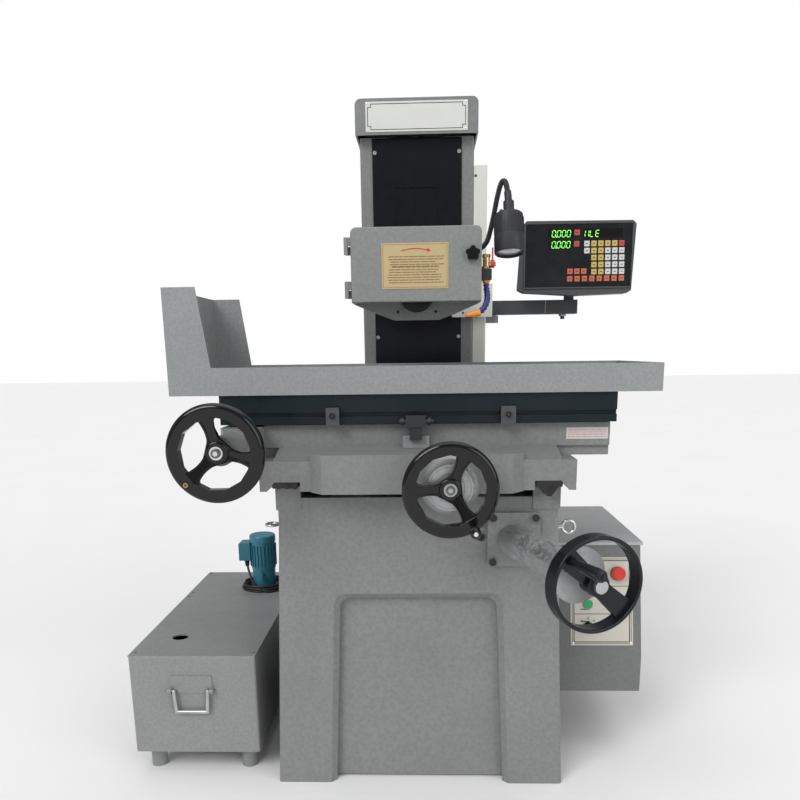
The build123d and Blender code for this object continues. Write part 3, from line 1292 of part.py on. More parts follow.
def cabinet_shell():
    body = prism_x(cabinet_outline(0), CAB_LEFT, CAB_RIGHT - CAB_DOOR_GAP)
    body -= prism_x(cabinet_outline(CAB_SHEET), CAB_LEFT + CAB_SHEET, CAB_RIGHT - 2 * CAB_SHEET)
    body -= block(
        CAB_RIGHT - 4 * CAB_SHEET, CAB_RIGHT, CAB_TOP_FRONT + 50,
        CAB_BACK - 40, CAB_BOTTOM + 40, CAB_TOP - 40
    )
    for z in (CAB_BOTTOM + 60, CAB_TOP - 60):
        for y in (CAB_TOP_FRONT + 60, CAB_BACK - 60):
            body += block(base_half(z) - 1, CAB_LEFT + 1, y - 25, y + 25, z - 15, z + 15) - base_wedge()
    for _, (x, z, radius) in CONTROLS.items():
        point, out = slope_point(x, z), slope_normal()
        body -= rod(point - out * 12, point + out * 12, radius + 0.5)
    for z in cabinet_hinge_heights():
        body += rod((CAB_HINGE_X, CAB_HINGE_Y, z - 40), (CAB_HINGE_X, CAB_HINGE_Y, z - 0.5), CAB_HINGE_R)
        body += block(CAB_RIGHT - 5, CAB_HINGE_X, CAB_HINGE_Y, CAB_HINGE_Y + CAB_HINGE_R, z - 40, z - 0.5)
    return body


def base_wedge():
    outline = [
        (-base_half(0), 0),
        (base_half(0), 0),
        (base_half(BASE_H), BASE_H),
        (-base_half(BASE_H), BASE_H),
    ]
    return prism_y(outline, -BASE_DEPTH / 2, BASE_DEPTH / 2)


def cabinet_hinge_heights():
    return (CAB_BOTTOM + 90, CAB_TOP - 70)


def cabinet_door():
    x0, x1 = CAB_RIGHT - CAB_DOOR_GAP + 0.5, CAB_RIGHT + 1
    body = block(x0, x1, CAB_TOP_FRONT + 30, CAB_BACK - 24, CAB_BOTTOM + 20, CAB_TOP - 20)
    for z in cabinet_hinge_heights():
        body += rod((CAB_HINGE_X, CAB_HINGE_Y, z), (CAB_HINGE_X, CAB_HINGE_Y, z + 40), CAB_HINGE_R)
        body += block(x1 - 1, CAB_HINGE_X, CAB_HINGE_Y - 12, CAB_HINGE_Y, z, z + 40)
    lock = rod((x1 - 1, CAB_TOP_FRONT + 60, 370), (x1 + 8, CAB_TOP_FRONT + 60, 370), 11)
    return body + lock


CONTROLS = {
    "emergency_stop": (522.0, 476.0, 7.0),
    "start_button": (445.0, 397.0, 7.0),
    "selector_switch": (445.0, 340.0, 7.0),
}


def slope_point(x, z):
    along = (CAB_TOP - z) / (CAB_TOP - CAB_SLOPE_LOW)
    return Vector(x, CAB_TOP_FRONT + (CAB_LOW_FRONT - CAB_TOP_FRONT) * along, z)


def slope_normal():
    rise, run = CAB_TOP - CAB_SLOPE_LOW, CAB_TOP_FRONT - CAB_LOW_FRONT
    return Vector(0, -rise, run).normalized()


def emergency_stop():
    x, z, radius = CONTROLS["emergency_stop"]
    point, out = slope_point(x, z), slope_normal()
    stem = rod(point - out * 14, point + out * 18, radius)
    return stem + cone(point + out * 16, point + out * 28, 19, 15)


def start_button():
    x, z, radius = CONTROLS["start_button"]
    point, out = slope_point(x, z), slope_normal()
    return rod(point - out * 12, point + out * 6, radius) + rod(point + out * 3.5, point + out * 8, 11)


def selector_switch():
    x, z, radius = CONTROLS["selector_switch"]
    point, out = slope_point(x, z), slope_normal()
    stem = rod(point - out * 12, point + out * 6, radius) + rod(point + out * 2, point + out * 8, 13)
    plane = Plane(origin=point + out * 8, x_dir=(1, 0, 0), z_dir=out)
    return stem + plane * Box(8, 24, 12, align=(Align.CENTER, Align.CENTER, Align.MIN))


# ---- coolant tank -------------------------------------------------------------
def tank_body():
    body = block(TANK_LEFT, TANK_RIGHT, TANK_FRONT, TANK_BACK, TANK_BOTTOM, TANK_TOP)
    body = fillet(body.edges().filter_by(Axis.Z), 6)
    body -= block(
        TANK_LEFT + TANK_SHEET, TANK_RIGHT - TANK_SHEET, TANK_FRONT + TANK_SHEET, TANK_BACK - TANK_SHEET,
        TANK_BOTTOM + TANK_SHEET, TANK_TOP + 1,
    )
    for x in (TANK_LEFT + 40, TANK_RIGHT - 40):
        for y in (TANK_FRONT + 50, TANK_BACK - 50):
            body += rod((x, y, 0), (x, y, TANK_BOTTOM + 1), 20)
    plate = block(BAIL_X - 52, BAIL_X + 52, TANK_FRONT - 3, TANK_FRONT, 224, 269)
    body += plate
    for side in (-1, 1):
        x = BAIL_X + side * (BAIL_HALF + BAIL_R + 5)
        ear = rod((x - 4, TANK_FRONT - 10, BAIL_PIVOT_Z), (x + 4, TANK_FRONT - 10, BAIL_PIVOT_Z), 7)
        ear += block(x - 4, x + 4, TANK_FRONT - 10, TANK_FRONT, BAIL_PIVOT_Z - 7, BAIL_PIVOT_Z + 7)
        body += ear - rod(
            (x - 9, TANK_FRONT - 10, BAIL_PIVOT_Z), (x + 9, TANK_FRONT - 10, BAIL_PIVOT_Z), 3 + RUN_GAP
        )
    return body


def bail_handle():
    y, z = TANK_FRONT - 10, BAIL_PIVOT_Z
    x0, x1 = BAIL_X - BAIL_HALF, BAIL_X + BAIL_HALF
    body = rod((x0 + 4, y, z - BAIL_DROP), (x1 - 4, y, z - BAIL_DROP), BAIL_R)
    for x, inner in ((x0, x0 + 4), (x1, x1 - 4)):
        body += rod((x, y, z), (inner, y, z - BAIL_DROP), BAIL_R)
        body += Pos(inner, y, z - BAIL_DROP) * Sphere(BAIL_R)
        body += Pos(x, y, z) * Sphere(BAIL_R)
    reach = BAIL_HALF + BAIL_R + 9
    return body + rod((BAIL_X - reach, y, z), (x0, y, z), 3) + rod((x1, y, z), (BAIL_X + reach, y, z), 3)


def tank_lids():
    z0, z1 = TANK_TOP, TANK_TOP + LID_T
    front = block(TANK_LEFT, TANK_RIGHT, TANK_FRONT, LID_SPLIT - 0.5, z0, z1)
    front -= rod((RETURN_X, RETURN_Y, z0 - 1), (RETURN_X, RETURN_Y, z1 + 1), RETURN_R)
    back = block(TANK_LEFT, TANK_RIGHT, LID_SPLIT + 0.5, TANK_BACK, z0, z1)
    back -= rod((PUMP_X, PUMP_Y, z0 - 1), (PUMP_X, PUMP_Y, z1 + 1), PUMP_NECK_R + 2)
    return group([front, back])


def pump_body():
    low = TANK_TOP + LID_T
    flange = block(
        PUMP_X - PUMP_FLANGE_HALF, PUMP_X + PUMP_FLANGE_HALF, PUMP_Y - PUMP_FLANGE_HALF,
        PUMP_Y + PUMP_FLANGE_HALF, low, low + 6,
    )
    flange = fillet(flange.edges().filter_by(Axis.Z), 10)
    neck = rod((PUMP_X, PUMP_Y, low - 180), (PUMP_X, PUMP_Y, PUMP_MOTOR_LOW), PUMP_NECK_R)
    neck += rod((PUMP_X, PUMP_Y, low + 5), (PUMP_X, PUMP_Y, PUMP_MOTOR_LOW), PUMP_BELL_R)
    outlet = rod((PUMP_X, PUMP_Y, 374), (PUMP_X, PUMP_Y - 62, 374), 9)
    rings = Part()
    for i in range(3):
        y = PUMP_Y - 40 - 8 * i
        rings += cone((PUMP_X, y, 374), (PUMP_X, y - 7, 374), 10, 8.5)
    return flange + neck + outlet + rings


def pump_motor():
    body = rod((PUMP_X, PUMP_Y, PUMP_MOTOR_LOW), (PUMP_X, PUMP_Y, PUMP_MOTOR_TOP - 22), PUMP_MOTOR_R)
    for i in range(24):
        angle = math.radians(15 * i)
        x, y = PUMP_X + PUMP_MOTOR_R * math.cos(angle), PUMP_Y + PUMP_MOTOR_R * math.sin(angle)
        fin = Pos(x, y, (PUMP_MOTOR_LOW + PUMP_MOTOR_TOP - 22) / 2) * Rot(0, 0, 15 * i)
        body += fin * Box(8, 2.4, PUMP_MOTOR_TOP - PUMP_MOTOR_LOW - 40)
    cap = rod((PUMP_X, PUMP_Y, PUMP_MOTOR_TOP - 22), (PUMP_X, PUMP_Y, PUMP_MOTOR_TOP), PUMP_MOTOR_R + 3)
    cap = fillet(cap.edges().filter_by(GeomType.CIRCLE).group_by(Axis.Z)[-1], 7)
    low, high = PUMP_BOX_LOW, PUMP_BOX_LOW + PUMP_BOX_H
    box = block(PUMP_X - 72, PUMP_X - PUMP_MOTOR_R + 2, PUMP_Y - 26, PUMP_Y + 26, low, high)
    box = fillet(box.edges().filter_by(Axis.Y), 3)
    gland = rod((PUMP_X - 53, PUMP_Y, low - 4), (PUMP_X - 53, PUMP_Y, low + 1), 8)
    return body + cap + box + gland


def pump_cable():
    cable, path, radii = tube_along(CABLE_ROUTE, CABLE_R)
    print("cable bend radii", [round(r, 1) for r in radii], "length", round(path.length, 1))
    print("cable volume", round(cable.volume), "expected", round(math.pi * CABLE_R**2 * path.length))
    return cable


def pump_cable_coil():
    """Outer shape of the loose turns that lie on the lid round the pump's foot."""
    ring = Torus(COIL_MEAN_R, COIL_TUBE_R)
    return Pos(PUMP_X, PUMP_Y, TANK_TOP + LID_T + COIL_TUBE_R) * ring


NODES = {
    "base": base,
    "base_rear_cover": base_rear_cover,
    "lifting_eyes": lifting_eyes,
    "column": column,
    "column_front_cover": column_front_cover,
    "column_cap": column_cap,
    "socket_screws": socket_screws,
    "scale_cover": scale_cover,
    "elevating_tube": elevating_tube,
    "crossfeed_nut": crossfeed_nut,
    "cabinet_shell": cabinet_shell,
    "tank_body": tank_body,
    "tank_lids": tank_lids,
    "pump_body": pump_body,
    "pump_motor": pump_motor,
    "pump_cable": pump_cable,
    "pump_cable_coil": pump_cable_coil,
    "saddle": saddle,
    "drive_housing": drive_housing,
    "drive_belt": drive_belt,
    "feed_housing": feed_housing,
    "table_stop": table_stop,
    "table": table,
    "splash_guard": splash_guard,
    "table_rack": table_rack,
    "table_dog_left": lambda: table_dog(-190, 30),
    "table_dog_right": lambda: table_dog(206, 33),
    "table_handwheel": table_handwheel,
    "table_drive_shaft": table_drive_shaft,
    "drive_pinion": drive_pinion,
    "cross_handwheel": cross_handwheel,
    "cross_screw": cross_screw,
    "cross_handle": cross_handle,
    "elevating_handwheel": elevating_handwheel,
    "elevating_shaft": elevating_shaft,
    "elevating_handle": elevating_handle,
    "elevating_screw": elevating_screw,
    "head_casting": head_casting,
    "elevating_nut": elevating_nut,
    "spindle_stator": spindle_stator,
    "spindle_bearings": spindle_bearings,
    "slot_curtain": slot_curtain,
    "wheel_guard": wheel_guard,
    "scale_bracket": scale_bracket,
    "coolant_valve": coolant_valve,
    "coolant_hose": coolant_hose,
    "lamp_gooseneck": lamp_gooseneck,
    "spindle_shaft": spindle_shaft,
    "wheel_flange": wheel_flange,
    "guard_door": guard_door,
    "door_knob": door_knob,
    "valve_lever": valve_lever,
    "lamp_head": lamp_head,
    "dro_arm": dro_arm,
    "dro_console": dro_console,
    "emergency_stop": emergency_stop,
    "start_button": start_button,
    "selector_switch": selector_switch,
    "cabinet_door": cabinet_door,
    "bail_handle": bail_handle,
}

os.makedirs("parts", exist_ok=True)
for name, make in NODES.items():
    export_step(make(), os.path.join("parts", name + ".step"))
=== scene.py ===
import math
import random

import bmesh
import bpy
from mathutils import Matrix, Vector


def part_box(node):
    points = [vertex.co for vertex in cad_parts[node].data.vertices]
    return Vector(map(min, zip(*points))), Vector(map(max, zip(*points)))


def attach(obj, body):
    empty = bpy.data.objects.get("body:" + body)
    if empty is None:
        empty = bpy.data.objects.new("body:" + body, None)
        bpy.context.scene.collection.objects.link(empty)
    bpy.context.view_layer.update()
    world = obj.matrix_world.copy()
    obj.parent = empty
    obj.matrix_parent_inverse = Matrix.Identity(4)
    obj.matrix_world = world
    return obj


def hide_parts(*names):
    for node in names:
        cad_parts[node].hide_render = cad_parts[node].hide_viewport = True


# Surface grinder. Metres, in the frame of the CAD: X right, Y away from the operator, Z up.

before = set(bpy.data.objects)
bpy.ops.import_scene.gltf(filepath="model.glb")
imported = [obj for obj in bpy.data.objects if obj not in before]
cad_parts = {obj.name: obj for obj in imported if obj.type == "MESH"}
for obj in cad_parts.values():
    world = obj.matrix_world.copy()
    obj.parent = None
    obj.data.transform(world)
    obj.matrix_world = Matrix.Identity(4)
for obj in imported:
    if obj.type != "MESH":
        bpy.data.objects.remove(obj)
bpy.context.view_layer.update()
MM = 0.001
FRONT = Vector((0, -1, 0))
RIGHT = Vector((1, 0, 0))
UP = Vector((0, 0, 1))


# Places on the machine that several pieces share, in metres.
BASE_FRONT = -0.430
SADDLE_FRONT = -0.385
APRON_FRONT = -0.505
CABINET_LEFT = 0.358
CABINET_TOP_FRONT = -0.180
TABLE_WHEEL_FACE = -0.601
CROSS_WHEEL_FACE = -0.569
CROSS_DIAL_R = 0.050
CROSS_DIAL_T = 0.022
VALVE_X = 0.164
VALVE_Y = -0.262


def low(node):
    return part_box(node)[0]


def high(node):
    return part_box(node)[1]


def middle(node):
    return (low(node) + high(node)) / 2


# ---- camera -----------------------------------------------------------------
CAMERA_PLACE = (0.0229, -2.1478, 1.0500)
CAMERA_YAW = 2.11
CAMERA_PITCH = -13.0
CAMERA_ROLL = -0.77
CAMERA_LENS = 34.31
CAMERA_SHIFT = 0.161


def add_camera():
    data = bpy.data.cameras.new("camera")
    data.lens = CAMERA_LENS
    data.sensor_width = 36
    data.shift_y = CAMERA_SHIFT
    data.clip_end = 60
    camera = bpy.data.objects.new("camera", data)
    turn = Matrix.Rotation(math.radians(CAMERA_YAW), 4, "Z")
    tilt = Matrix.Rotation(math.radians(90 + CAMERA_PITCH), 4, "X")
    roll = Matrix.Rotation(math.radians(CAMERA_ROLL), 4, "Z")
    camera.matrix_world = Matrix.Translation(CAMERA_PLACE) @ turn @ tilt @ roll
    bpy.context.scene.collection.objects.link(camera)
    bpy.context.scene.camera = camera


# ---- materials --------------------------------------------------------------
def blank(name):
    mat = bpy.data.materials.new(name)
    mat.use_nodes = True
    nodes = mat.node_tree.nodes
    nodes.clear()
    out = nodes.new("ShaderNodeOutputMaterial")
    shader = nodes.new("ShaderNodeBsdfPrincipled")
    mat.node_tree.links.new(shader.outputs["BSDF"], out.inputs["Surface"])
    return mat, shader


def add_node(mat, kind, **inputs):
    node = mat.node_tree.nodes.new(kind)
    for key, value in inputs.items():
        node.inputs[key.replace("_", " ")].default_value = value
    return node


def link(mat, source, target):
    mat.node_tree.links.new(source, target)


def noise(mat, scale, detail=3.0, stretch=(1, 1, 1)):
    place = mat.node_tree.nodes.new("ShaderNodeTexCoord")
    spread = mat.node_tree.nodes.new("ShaderNodeMapping")
    spread.inputs["Scale"].default_value = stretch
    pattern = add_node(mat, "ShaderNodeTexNoise", Scale=scale, Detail=detail)
    link(mat, place.outputs["Object"], spread.inputs["Vector"])
    link(mat, spread.outputs["Vector"], pattern.inputs["Vector"])
    return pattern.outputs["Fac"]


def cells(mat, scale):
    place = mat.node_tree.nodes.new("ShaderNodeTexCoord")
    pattern = add_node(mat, "ShaderNodeTexVoronoi", Scale=scale)
    pattern.feature = "SMOOTH_F1"
    link(mat, place.outputs["Object"], pattern.inputs["Vector"])
    return pattern.outputs["Distance"]


def ramp(mat, value, start, end, first=0.0, last=1.0):
    node = mat.node_tree.nodes.new("ShaderNodeMapRange")
    node.inputs["From Min"].default_value = start
    node.inputs["From Max"].default_value = end
    node.inputs["To Min"].default_value = first
    node.inputs["To Max"].default_value = last
    link(mat, value, node.inputs["Value"])
    return node.outputs["Result"]


def blend_colour(mat, factor, a, b):
    node = mat.node_tree.nodes.new("ShaderNodeMix")
    node.data_type = "RGBA"
    link(mat, factor, node.inputs[0])
    for socket, value in ((node.inputs[6], a), (node.inputs[7], b)):
        if isinstance(value, tuple):
            socket.default_value = (*value, 1.0)
        else:
            link(mat, value, socket)
    return node.outputs[2]


def bump(mat, shader, height, distance, strength=0.5):
    node = mat.node_tree.nodes.new("ShaderNodeBump")
    node.inputs["Distance"].default_value = distance
    node.inputs["Strength"].default_value = strength
    link(mat, height, node.inputs["Height"])
    link(mat, node.outputs["Normal"], shader.inputs["Normal"])


def worn_edges(mat, colour, worn, radius, start=0.02, end=0.30):
    """Lighter colour along sharp edges, broken by noise; the mask is how far the rounded normal turns."""
    geometry = mat.node_tree.nodes.new("ShaderNodeNewGeometry")
    rounded = mat.node_tree.nodes.new("ShaderNodeBevel")
    rounded.samples = 4
    rounded.inputs["Radius"].default_value = radius
    facing = mat.node_tree.nodes.new("ShaderNodeVectorMath")
    facing.operation = "DOT_PRODUCT"
    link(mat, rounded.outputs["Normal"], facing.inputs[0])
    link(mat, geometry.outputs["True Normal"], facing.inputs[1])
    edge = ramp(mat, facing.outputs["Value"], 1.0 - start, 1.0 - end)
    patch = ramp(mat, noise(mat, 60.0, 4.0), 0.42, 0.62)
    both = mat.node_tree.nodes.new("ShaderNodeMath")
    both.operation = "MULTIPLY"
    link(mat, edge, both.inputs[0])
    link(mat, patch, both.inputs[1])
    return blend_colour(mat, both.outputs[0], colour, worn)


def scaled(colour, factor):
    return tuple(min(1.0, c * factor) for c in colour)


def hammer_paint(name, colour, cell=150.0, depth=0.0006):
    """Hammered machine paint: small dimples, mottled tone and slightly darker patches."""
    mat, shader = blank(name)
    dimples = cells(mat, cell)
    mottle = blend_colour(mat, ramp(mat, dimples, 0.15, 0.6), scaled(colour, 0.93), scaled(colour, 1.09))
    patches = ramp(mat, noise(mat, 5.0, 4.0), 0.35, 0.7, 0.0, 0.35)
    tone = blend_colour(mat, patches, mottle, scaled(colour, 0.82))
    link(mat, worn_edges(mat, tone, scaled(colour, 1.5), 0.0022), shader.inputs["Base Color"])
    link(mat, ramp(mat, noise(mat, 18.0, 5.0), 0.3, 0.7, 0.36, 0.5), shader.inputs["Roughness"])
    shader.inputs["Specular IOR Level"].default_value = 0.45
    bump(mat, shader, dimples, depth, 0.35)
    return mat


def smooth_paint(name, colour, rough=0.3, coat=0.0, scuff=0.35, shine=0.5):
    """Even paint or moulding with faint waviness, fine scuffs and a little dust."""
    mat, shader = blank(name)
    dust = ramp(mat, noise(mat, 7.0, 6.0), 0.45, 0.75, 0.0, scuff)
    tone = blend_colour(mat, dust, colour, tuple(c * 0.8 + 0.02 for c in colour))
    link(
        mat, worn_edges(mat, tone, tuple(c * 0.8 + 0.05 for c in colour), 0.001),
        shader.inputs["Base Color"]
    )
    link(
        mat, ramp(mat, noise(mat, 30.0, 6.0), 0.3, 0.75, rough * 0.8, rough * 1.5),
        shader.inputs["Roughness"]
    )
    shader.inputs["Specular IOR Level"].default_value = shine
    shader.inputs["Coat Weight"].default_value = coat
    shader.inputs["Coat Roughness"].default_value = 0.08
    bump(mat, shader, noise(mat, 260.0, 2.0), 0.0001, 0.3)
    return mat


def metal(name, colour, rough=0.3, stretch=(1, 1, 1), scale=200.0):
    """Bare metal with machining marks along the stretch and some tarnish."""
    mat, shader = blank(name)
    marks = noise(mat, scale, 4.0, stretch)
    tarnish = ramp(mat, noise(mat, 12.0, 5.0), 0.4, 0.7)
    tone = blend_colour(mat, tarnish, colour, scaled(colour, 0.78))
    link(mat, tone, shader.inputs["Base Color"])
    shader.inputs["Metallic"].default_value = 1.0
    link(mat, ramp(mat, marks, 0.3, 0.7, rough * 0.75, rough * 1.35), shader.inputs["Roughness"])
    bump(mat, shader, marks, 0.00012, 0.25)
    return mat


def glow(name, colour, strength):
    mat, shader = blank(name)
    spots = ramp(mat, noise(mat, 900.0, 2.0), 0.2, 0.8, 0.85, 1.0)
    tone = blend_colour(mat, spots, scaled(colour, 0.85), colour)
    link(mat, tone, shader.inputs["Base Color"])
    link(mat, tone, shader.inputs["Emission Color"])
    shader.inputs["Emission Strength"].default_value = strength
    shader.inputs["Roughness"].default_value = 0.4
    return mat


def lens_glass(name):
    mat, shader = blank(name)
    haze = ramp(mat, noise(mat, 300.0, 3.0), 0.3, 0.7, 0.12, 0.3)
    link(mat, haze, shader.inputs["Roughness"])
    shader.inputs["Base Color"].default_value = (0.55, 0.56, 0.57, 1)
    shader.inputs["Coat Weight"].default_value = 0.6
    bump(mat, shader, cells(mat, 260.0), 0.0008, 0.5)
    return mat


CASTING = (0.205, 0.210, 0.208)
SHEET_GREY = (0.262, 0.272, 0.275)
MATERIALS = {
    "hammer_grey": hammer_paint("hammer_grey", CASTING, 120.0, 0.0004),
    "sheet_grey": hammer_paint("sheet_grey", SHEET_GREY, 170.0, 0.0007),
    "cabinet_grey": hammer_paint("cabinet_grey", (0.165, 0.170, 0.168), 200.0, 0.0005),
    "door_grey": hammer_paint("door_grey", (0.222, 0.228, 0.228), 190.0, 0.0007),
    "tank_grey": hammer_paint("tank_grey", (0.235, 0.242, 0.240), 190.0, 0.0006),
    # Pale grey for the cabinet's top: painted reflection, a lit copy of the cabinet's paint standing in for
    # glare on the top.
    "lid_painted_glare": hammer_paint("lid_painted_glare", (0.42, 0.435, 0.44), 200.0, 0.0003),
    "table_dark": smooth_paint("table_dark", (0.006, 0.013, 0.017), 0.32, 0.0, 0.20, 0.25),
    "black_cover": smooth_paint("black_cover", (0.003, 0.0045, 0.0075), 0.20, 0.0, 0.12, 0.30),
    "black_gloss": smooth_paint("black_gloss", (0.002, 0.002, 0.003), 0.10, 0.4, 0.05, 0.25),
    "black_satin": smooth_paint("black_satin", (0.006, 0.007, 0.009), 0.28, 0.1, 0.2, 0.3),
    "black_matt": smooth_paint("black_matt", (0.020, 0.021, 0.024), 0.5, 0.0, 0.5),
    "dark_grey": smooth_paint("dark_grey", (0.060, 0.063, 0.068), 0.45, 0.0, 0.5),
    "turned_steel": metal("turned_steel", (0.55, 0.55, 0.54), 0.35, (1, 1, 1), 260.0),
    "hub_metal": metal("hub_metal", (0.20, 0.205, 0.205), 0.4, (1, 1, 1), 220.0),
    "dial_metal": metal("dial_metal", (0.50, 0.51, 0.515), 0.45, (1, 1, 1), 220.0),
    "tube_silver": metal("tube_silver", (0.56, 0.575, 0.58), 0.5, (1, 1, 1), 120.0),
    "bright_steel": metal("bright_steel", (0.75, 0.75, 0.74), 0.15),
    "brass": metal("brass", (0.72, 0.52, 0.22), 0.25),
    "bronze": metal("bronze", (0.55, 0.35, 0.16), 0.35),
    "copper": metal("copper", (0.60, 0.28, 0.14), 0.4),
    "off_white": smooth_paint("off_white", (0.70, 0.70, 0.66), 0.45, 0.0, 0.25),
    "teal": smooth_paint("teal", (0.022, 0.165, 0.235), 0.33, 0.2, 0.3),
    "sheath": smooth_paint("sheath", (0.012, 0.012, 0.014), 0.42, 0.0, 0.3),
    "belt_rubber": smooth_paint("belt_rubber", (0.02, 0.02, 0.02), 0.7, 0.0, 0.5),
    "hose_blue": smooth_paint("hose_blue", (0.020, 0.018, 0.16), 0.35, 0.1, 0.2),
    "orange": smooth_paint("orange", (0.75, 0.26, 0.04), 0.35, 0.1, 0.2),
    "red": smooth_paint("red", (0.62, 0.035, 0.03), 0.3, 0.3, 0.15),
    "green": smooth_paint("green", (0.03, 0.36, 0.13), 0.3, 0.3, 0.15),
    "tan": smooth_paint("tan", (0.50, 0.385, 0.20), 0.4, 0.0, 0.25),
    "tan_ink": smooth_paint("tan_ink", (0.20, 0.14, 0.06), 0.5, 0.0, 0.2),
    "plate_white": smooth_paint("plate_white", (0.66, 0.67, 0.64), 0.35, 0.1, 0.3),
    "panel_beige": smooth_paint("panel_beige", (0.60, 0.57, 0.50), 0.4, 0.0, 0.3),
    "ink": smooth_paint("ink", (0.02, 0.02, 0.022), 0.5, 0.0, 0.1),
    "sticker_ink": smooth_paint("sticker_ink", (0.42, 0.22, 0.22), 0.5, 0.0, 0.2),
    "sticker": smooth_paint("sticker", (0.60, 0.53, 0.53), 0.5, 0.0, 0.3),
    "key_white": smooth_paint("key_white", (0.62, 0.62, 0.62), 0.4, 0.0, 0.2),
    "key_yellow": smooth_paint("key_yellow", (0.55, 0.42, 0.12), 0.4, 0.0, 0.2),
    "key_red": smooth_paint("key_red", (0.50, 0.07, 0.06), 0.4, 0.0, 0.2),
    "key_orange": smooth_paint("key_orange", (0.55, 0.14, 0.07), 0.4, 0.0, 0.2),
    "digit_green": glow("digit_green", (0.25, 0.95, 0.12), 1.4),
    "lens": lens_glass("lens"),
}

NODE_LOOKS = {
    "base": ("hammer_grey", 2.5),
    "base_rear_cover": ("sheet_grey", 0.8),
    "lifting_eyes": ("bright_steel", 0),
    "column": ("hammer_grey", 2.0),
    "column_front_cover": ("black_cover", 0),
    "column_cap": ("hammer_grey", 1.5),
    "socket_screws": ("turned_steel", 0),
    "scale_cover": ("off_white", 1.0),
    "elevating_tube": ("tube_silver", 0),
    "crossfeed_nut": ("bronze", 1.0),
    "cabinet_shell": ("cabinet_grey", 1.2),
    "cabinet_door": ("cabinet_grey", 0.8),
    "tank_body": ("tank_grey", 1.0),
    "tank_lids": ("tank_grey", 1.0),
    "pump_body": ("teal", 0.6),
    "pump_motor": ("teal", 0.8),
    "saddle": ("hammer_grey", 3.0),
    "drive_housing": ("hammer_grey", 2.5),
    "drive_belt": ("belt_rubber", 0),
    "feed_housing": ("dial_metal", 0.8),
    "table_stop": ("black_matt", 1.2),
    "table": ("table_dark", 1.5),
    "splash_guard": ("sheet_grey", 0.8),
    "table_rack": ("turned_steel", 0),
    "table_dog_left": ("dark_grey", 1.0),
    "table_dog_right": ("dark_grey", 1.0),
    "table_handwheel": ("black_gloss", 3.0),
    "table_drive_shaft": ("bright_steel", 0.5),
    "drive_pinion": ("turned_steel", 0),
    "cross_handwheel": ("black_gloss", 3.0),
    "cross_screw": ("dial_metal", 0.6),
    "cross_handle": ("black_gloss", 1.0),
    "elevating_handwheel": ("black_satin", 1.2),
    "elevating_shaft": ("dial_metal", 0.6),
    "elevating_handle": ("black_satin", 1.0),
    "elevating_screw": ("turned_steel", 0),
    "head_casting": ("hammer_grey", 2.5),
    "elevating_nut": ("bronze", 0),
    "spindle_stator": ("copper", 0),
    "spindle_bearings": ("turned_steel", 0),
    "slot_curtain": ("black_cover", 0),
    "wheel_guard": ("door_grey", 1.2),
    "scale_bracket": ("off_white", 0.6),
    "coolant_valve": ("brass", 0.5),
    "spindle_shaft": ("turned_steel", 0),
    "wheel_flange": ("black_satin", 0.8),
    "guard_door": ("door_grey", 0),
    "door_knob": ("black_gloss", 1.0),
    "valve_lever": ("red", 0.6),
    "dro_arm": ("dark_grey", 1.2),
    "dro_console": ("dark_grey", 2.5),
    "emergency_stop": ("red", 1.5),
    "start_button": ("green", 0.8),
    "selector_switch": ("black_gloss", 0.8),
    "bail_handle": ("turned_steel", 0),
}


TUBE_PLATE_FRONT = -0.4425


def paint_tube_plate():
    """The bolted plate of the elevating tube is painted like the base; the tube itself is bare."""
    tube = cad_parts["elevating_tube"].data
    tube.materials.append(MATERIALS["hammer_grey"])
    for polygon in tube.polygons:
        if polygon.center.y > TUBE_PLATE_FRONT:
            polygon.material_index = 1


def dress_nodes():
    for name, (look, bevel) in NODE_LOOKS.items():
        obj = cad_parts[name]
        obj.data.materials.clear()
        obj.data.materials.append(MATERIALS[look])
        if bevel:
            edge = obj.modifiers.new("edges", "BEVEL")
            edge.width = bevel * MM
            edge.segments = 2
            edge.limit_method = "ANGLE"
            edge.angle_limit = math.radians(40)
            edge.use_clamp_overlap = True
            edge.harden_normals = False


# ---- mesh tools -------------------------------------------------------------
def finish_mesh(bm, name, body, look, bevel=0.0, smooth=True):
    """Turns a bmesh into a piece that rides on a body."""
    bmesh.ops.recalc_face_normals(bm, faces=bm.faces)
    mesh = bpy.data.meshes.new(name)
    bm.to_mesh(mesh)
    bm.free()
    if smooth:
        mesh.shade_smooth()
        mesh.set_sharp_from_angle(angle=math.radians(35))
    obj = bpy.data.objects.new(name, mesh)
    bpy.context.scene.collection.objects.link(obj)
    mesh.materials.append(MATERIALS[look])
    if bevel:
        edge = obj.modifiers.new("edges", "BEVEL")
        edge.width = bevel
        edge.segments = 3
        edge.limit_method = "ANGLE"
        edge.angle_limit = math.radians(35)
    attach(obj, body)
    return obj


def add_box(bm, start, end, matrix=None):
    start, end = Vector(start), Vector(end)
    place = Matrix.Translation((start + end) / 2) @ Matrix.Diagonal((*(end - start), 1))
    bmesh.ops.create_cube(bm, size=1.0, matrix=(matrix or Matrix()) @ place)


def axes(origin, normal, up=UP):
    """Matrix whose Z is the normal and whose Y is as near to up as it can be."""
    z = Vector(normal).normalized()
    x = Vector(up).cross(z).normalized()
    y = z.cross(x)
    turn = Matrix((x, y, z)).transposed().to_4x4()
    return Matrix.Translation(origin) @ turn


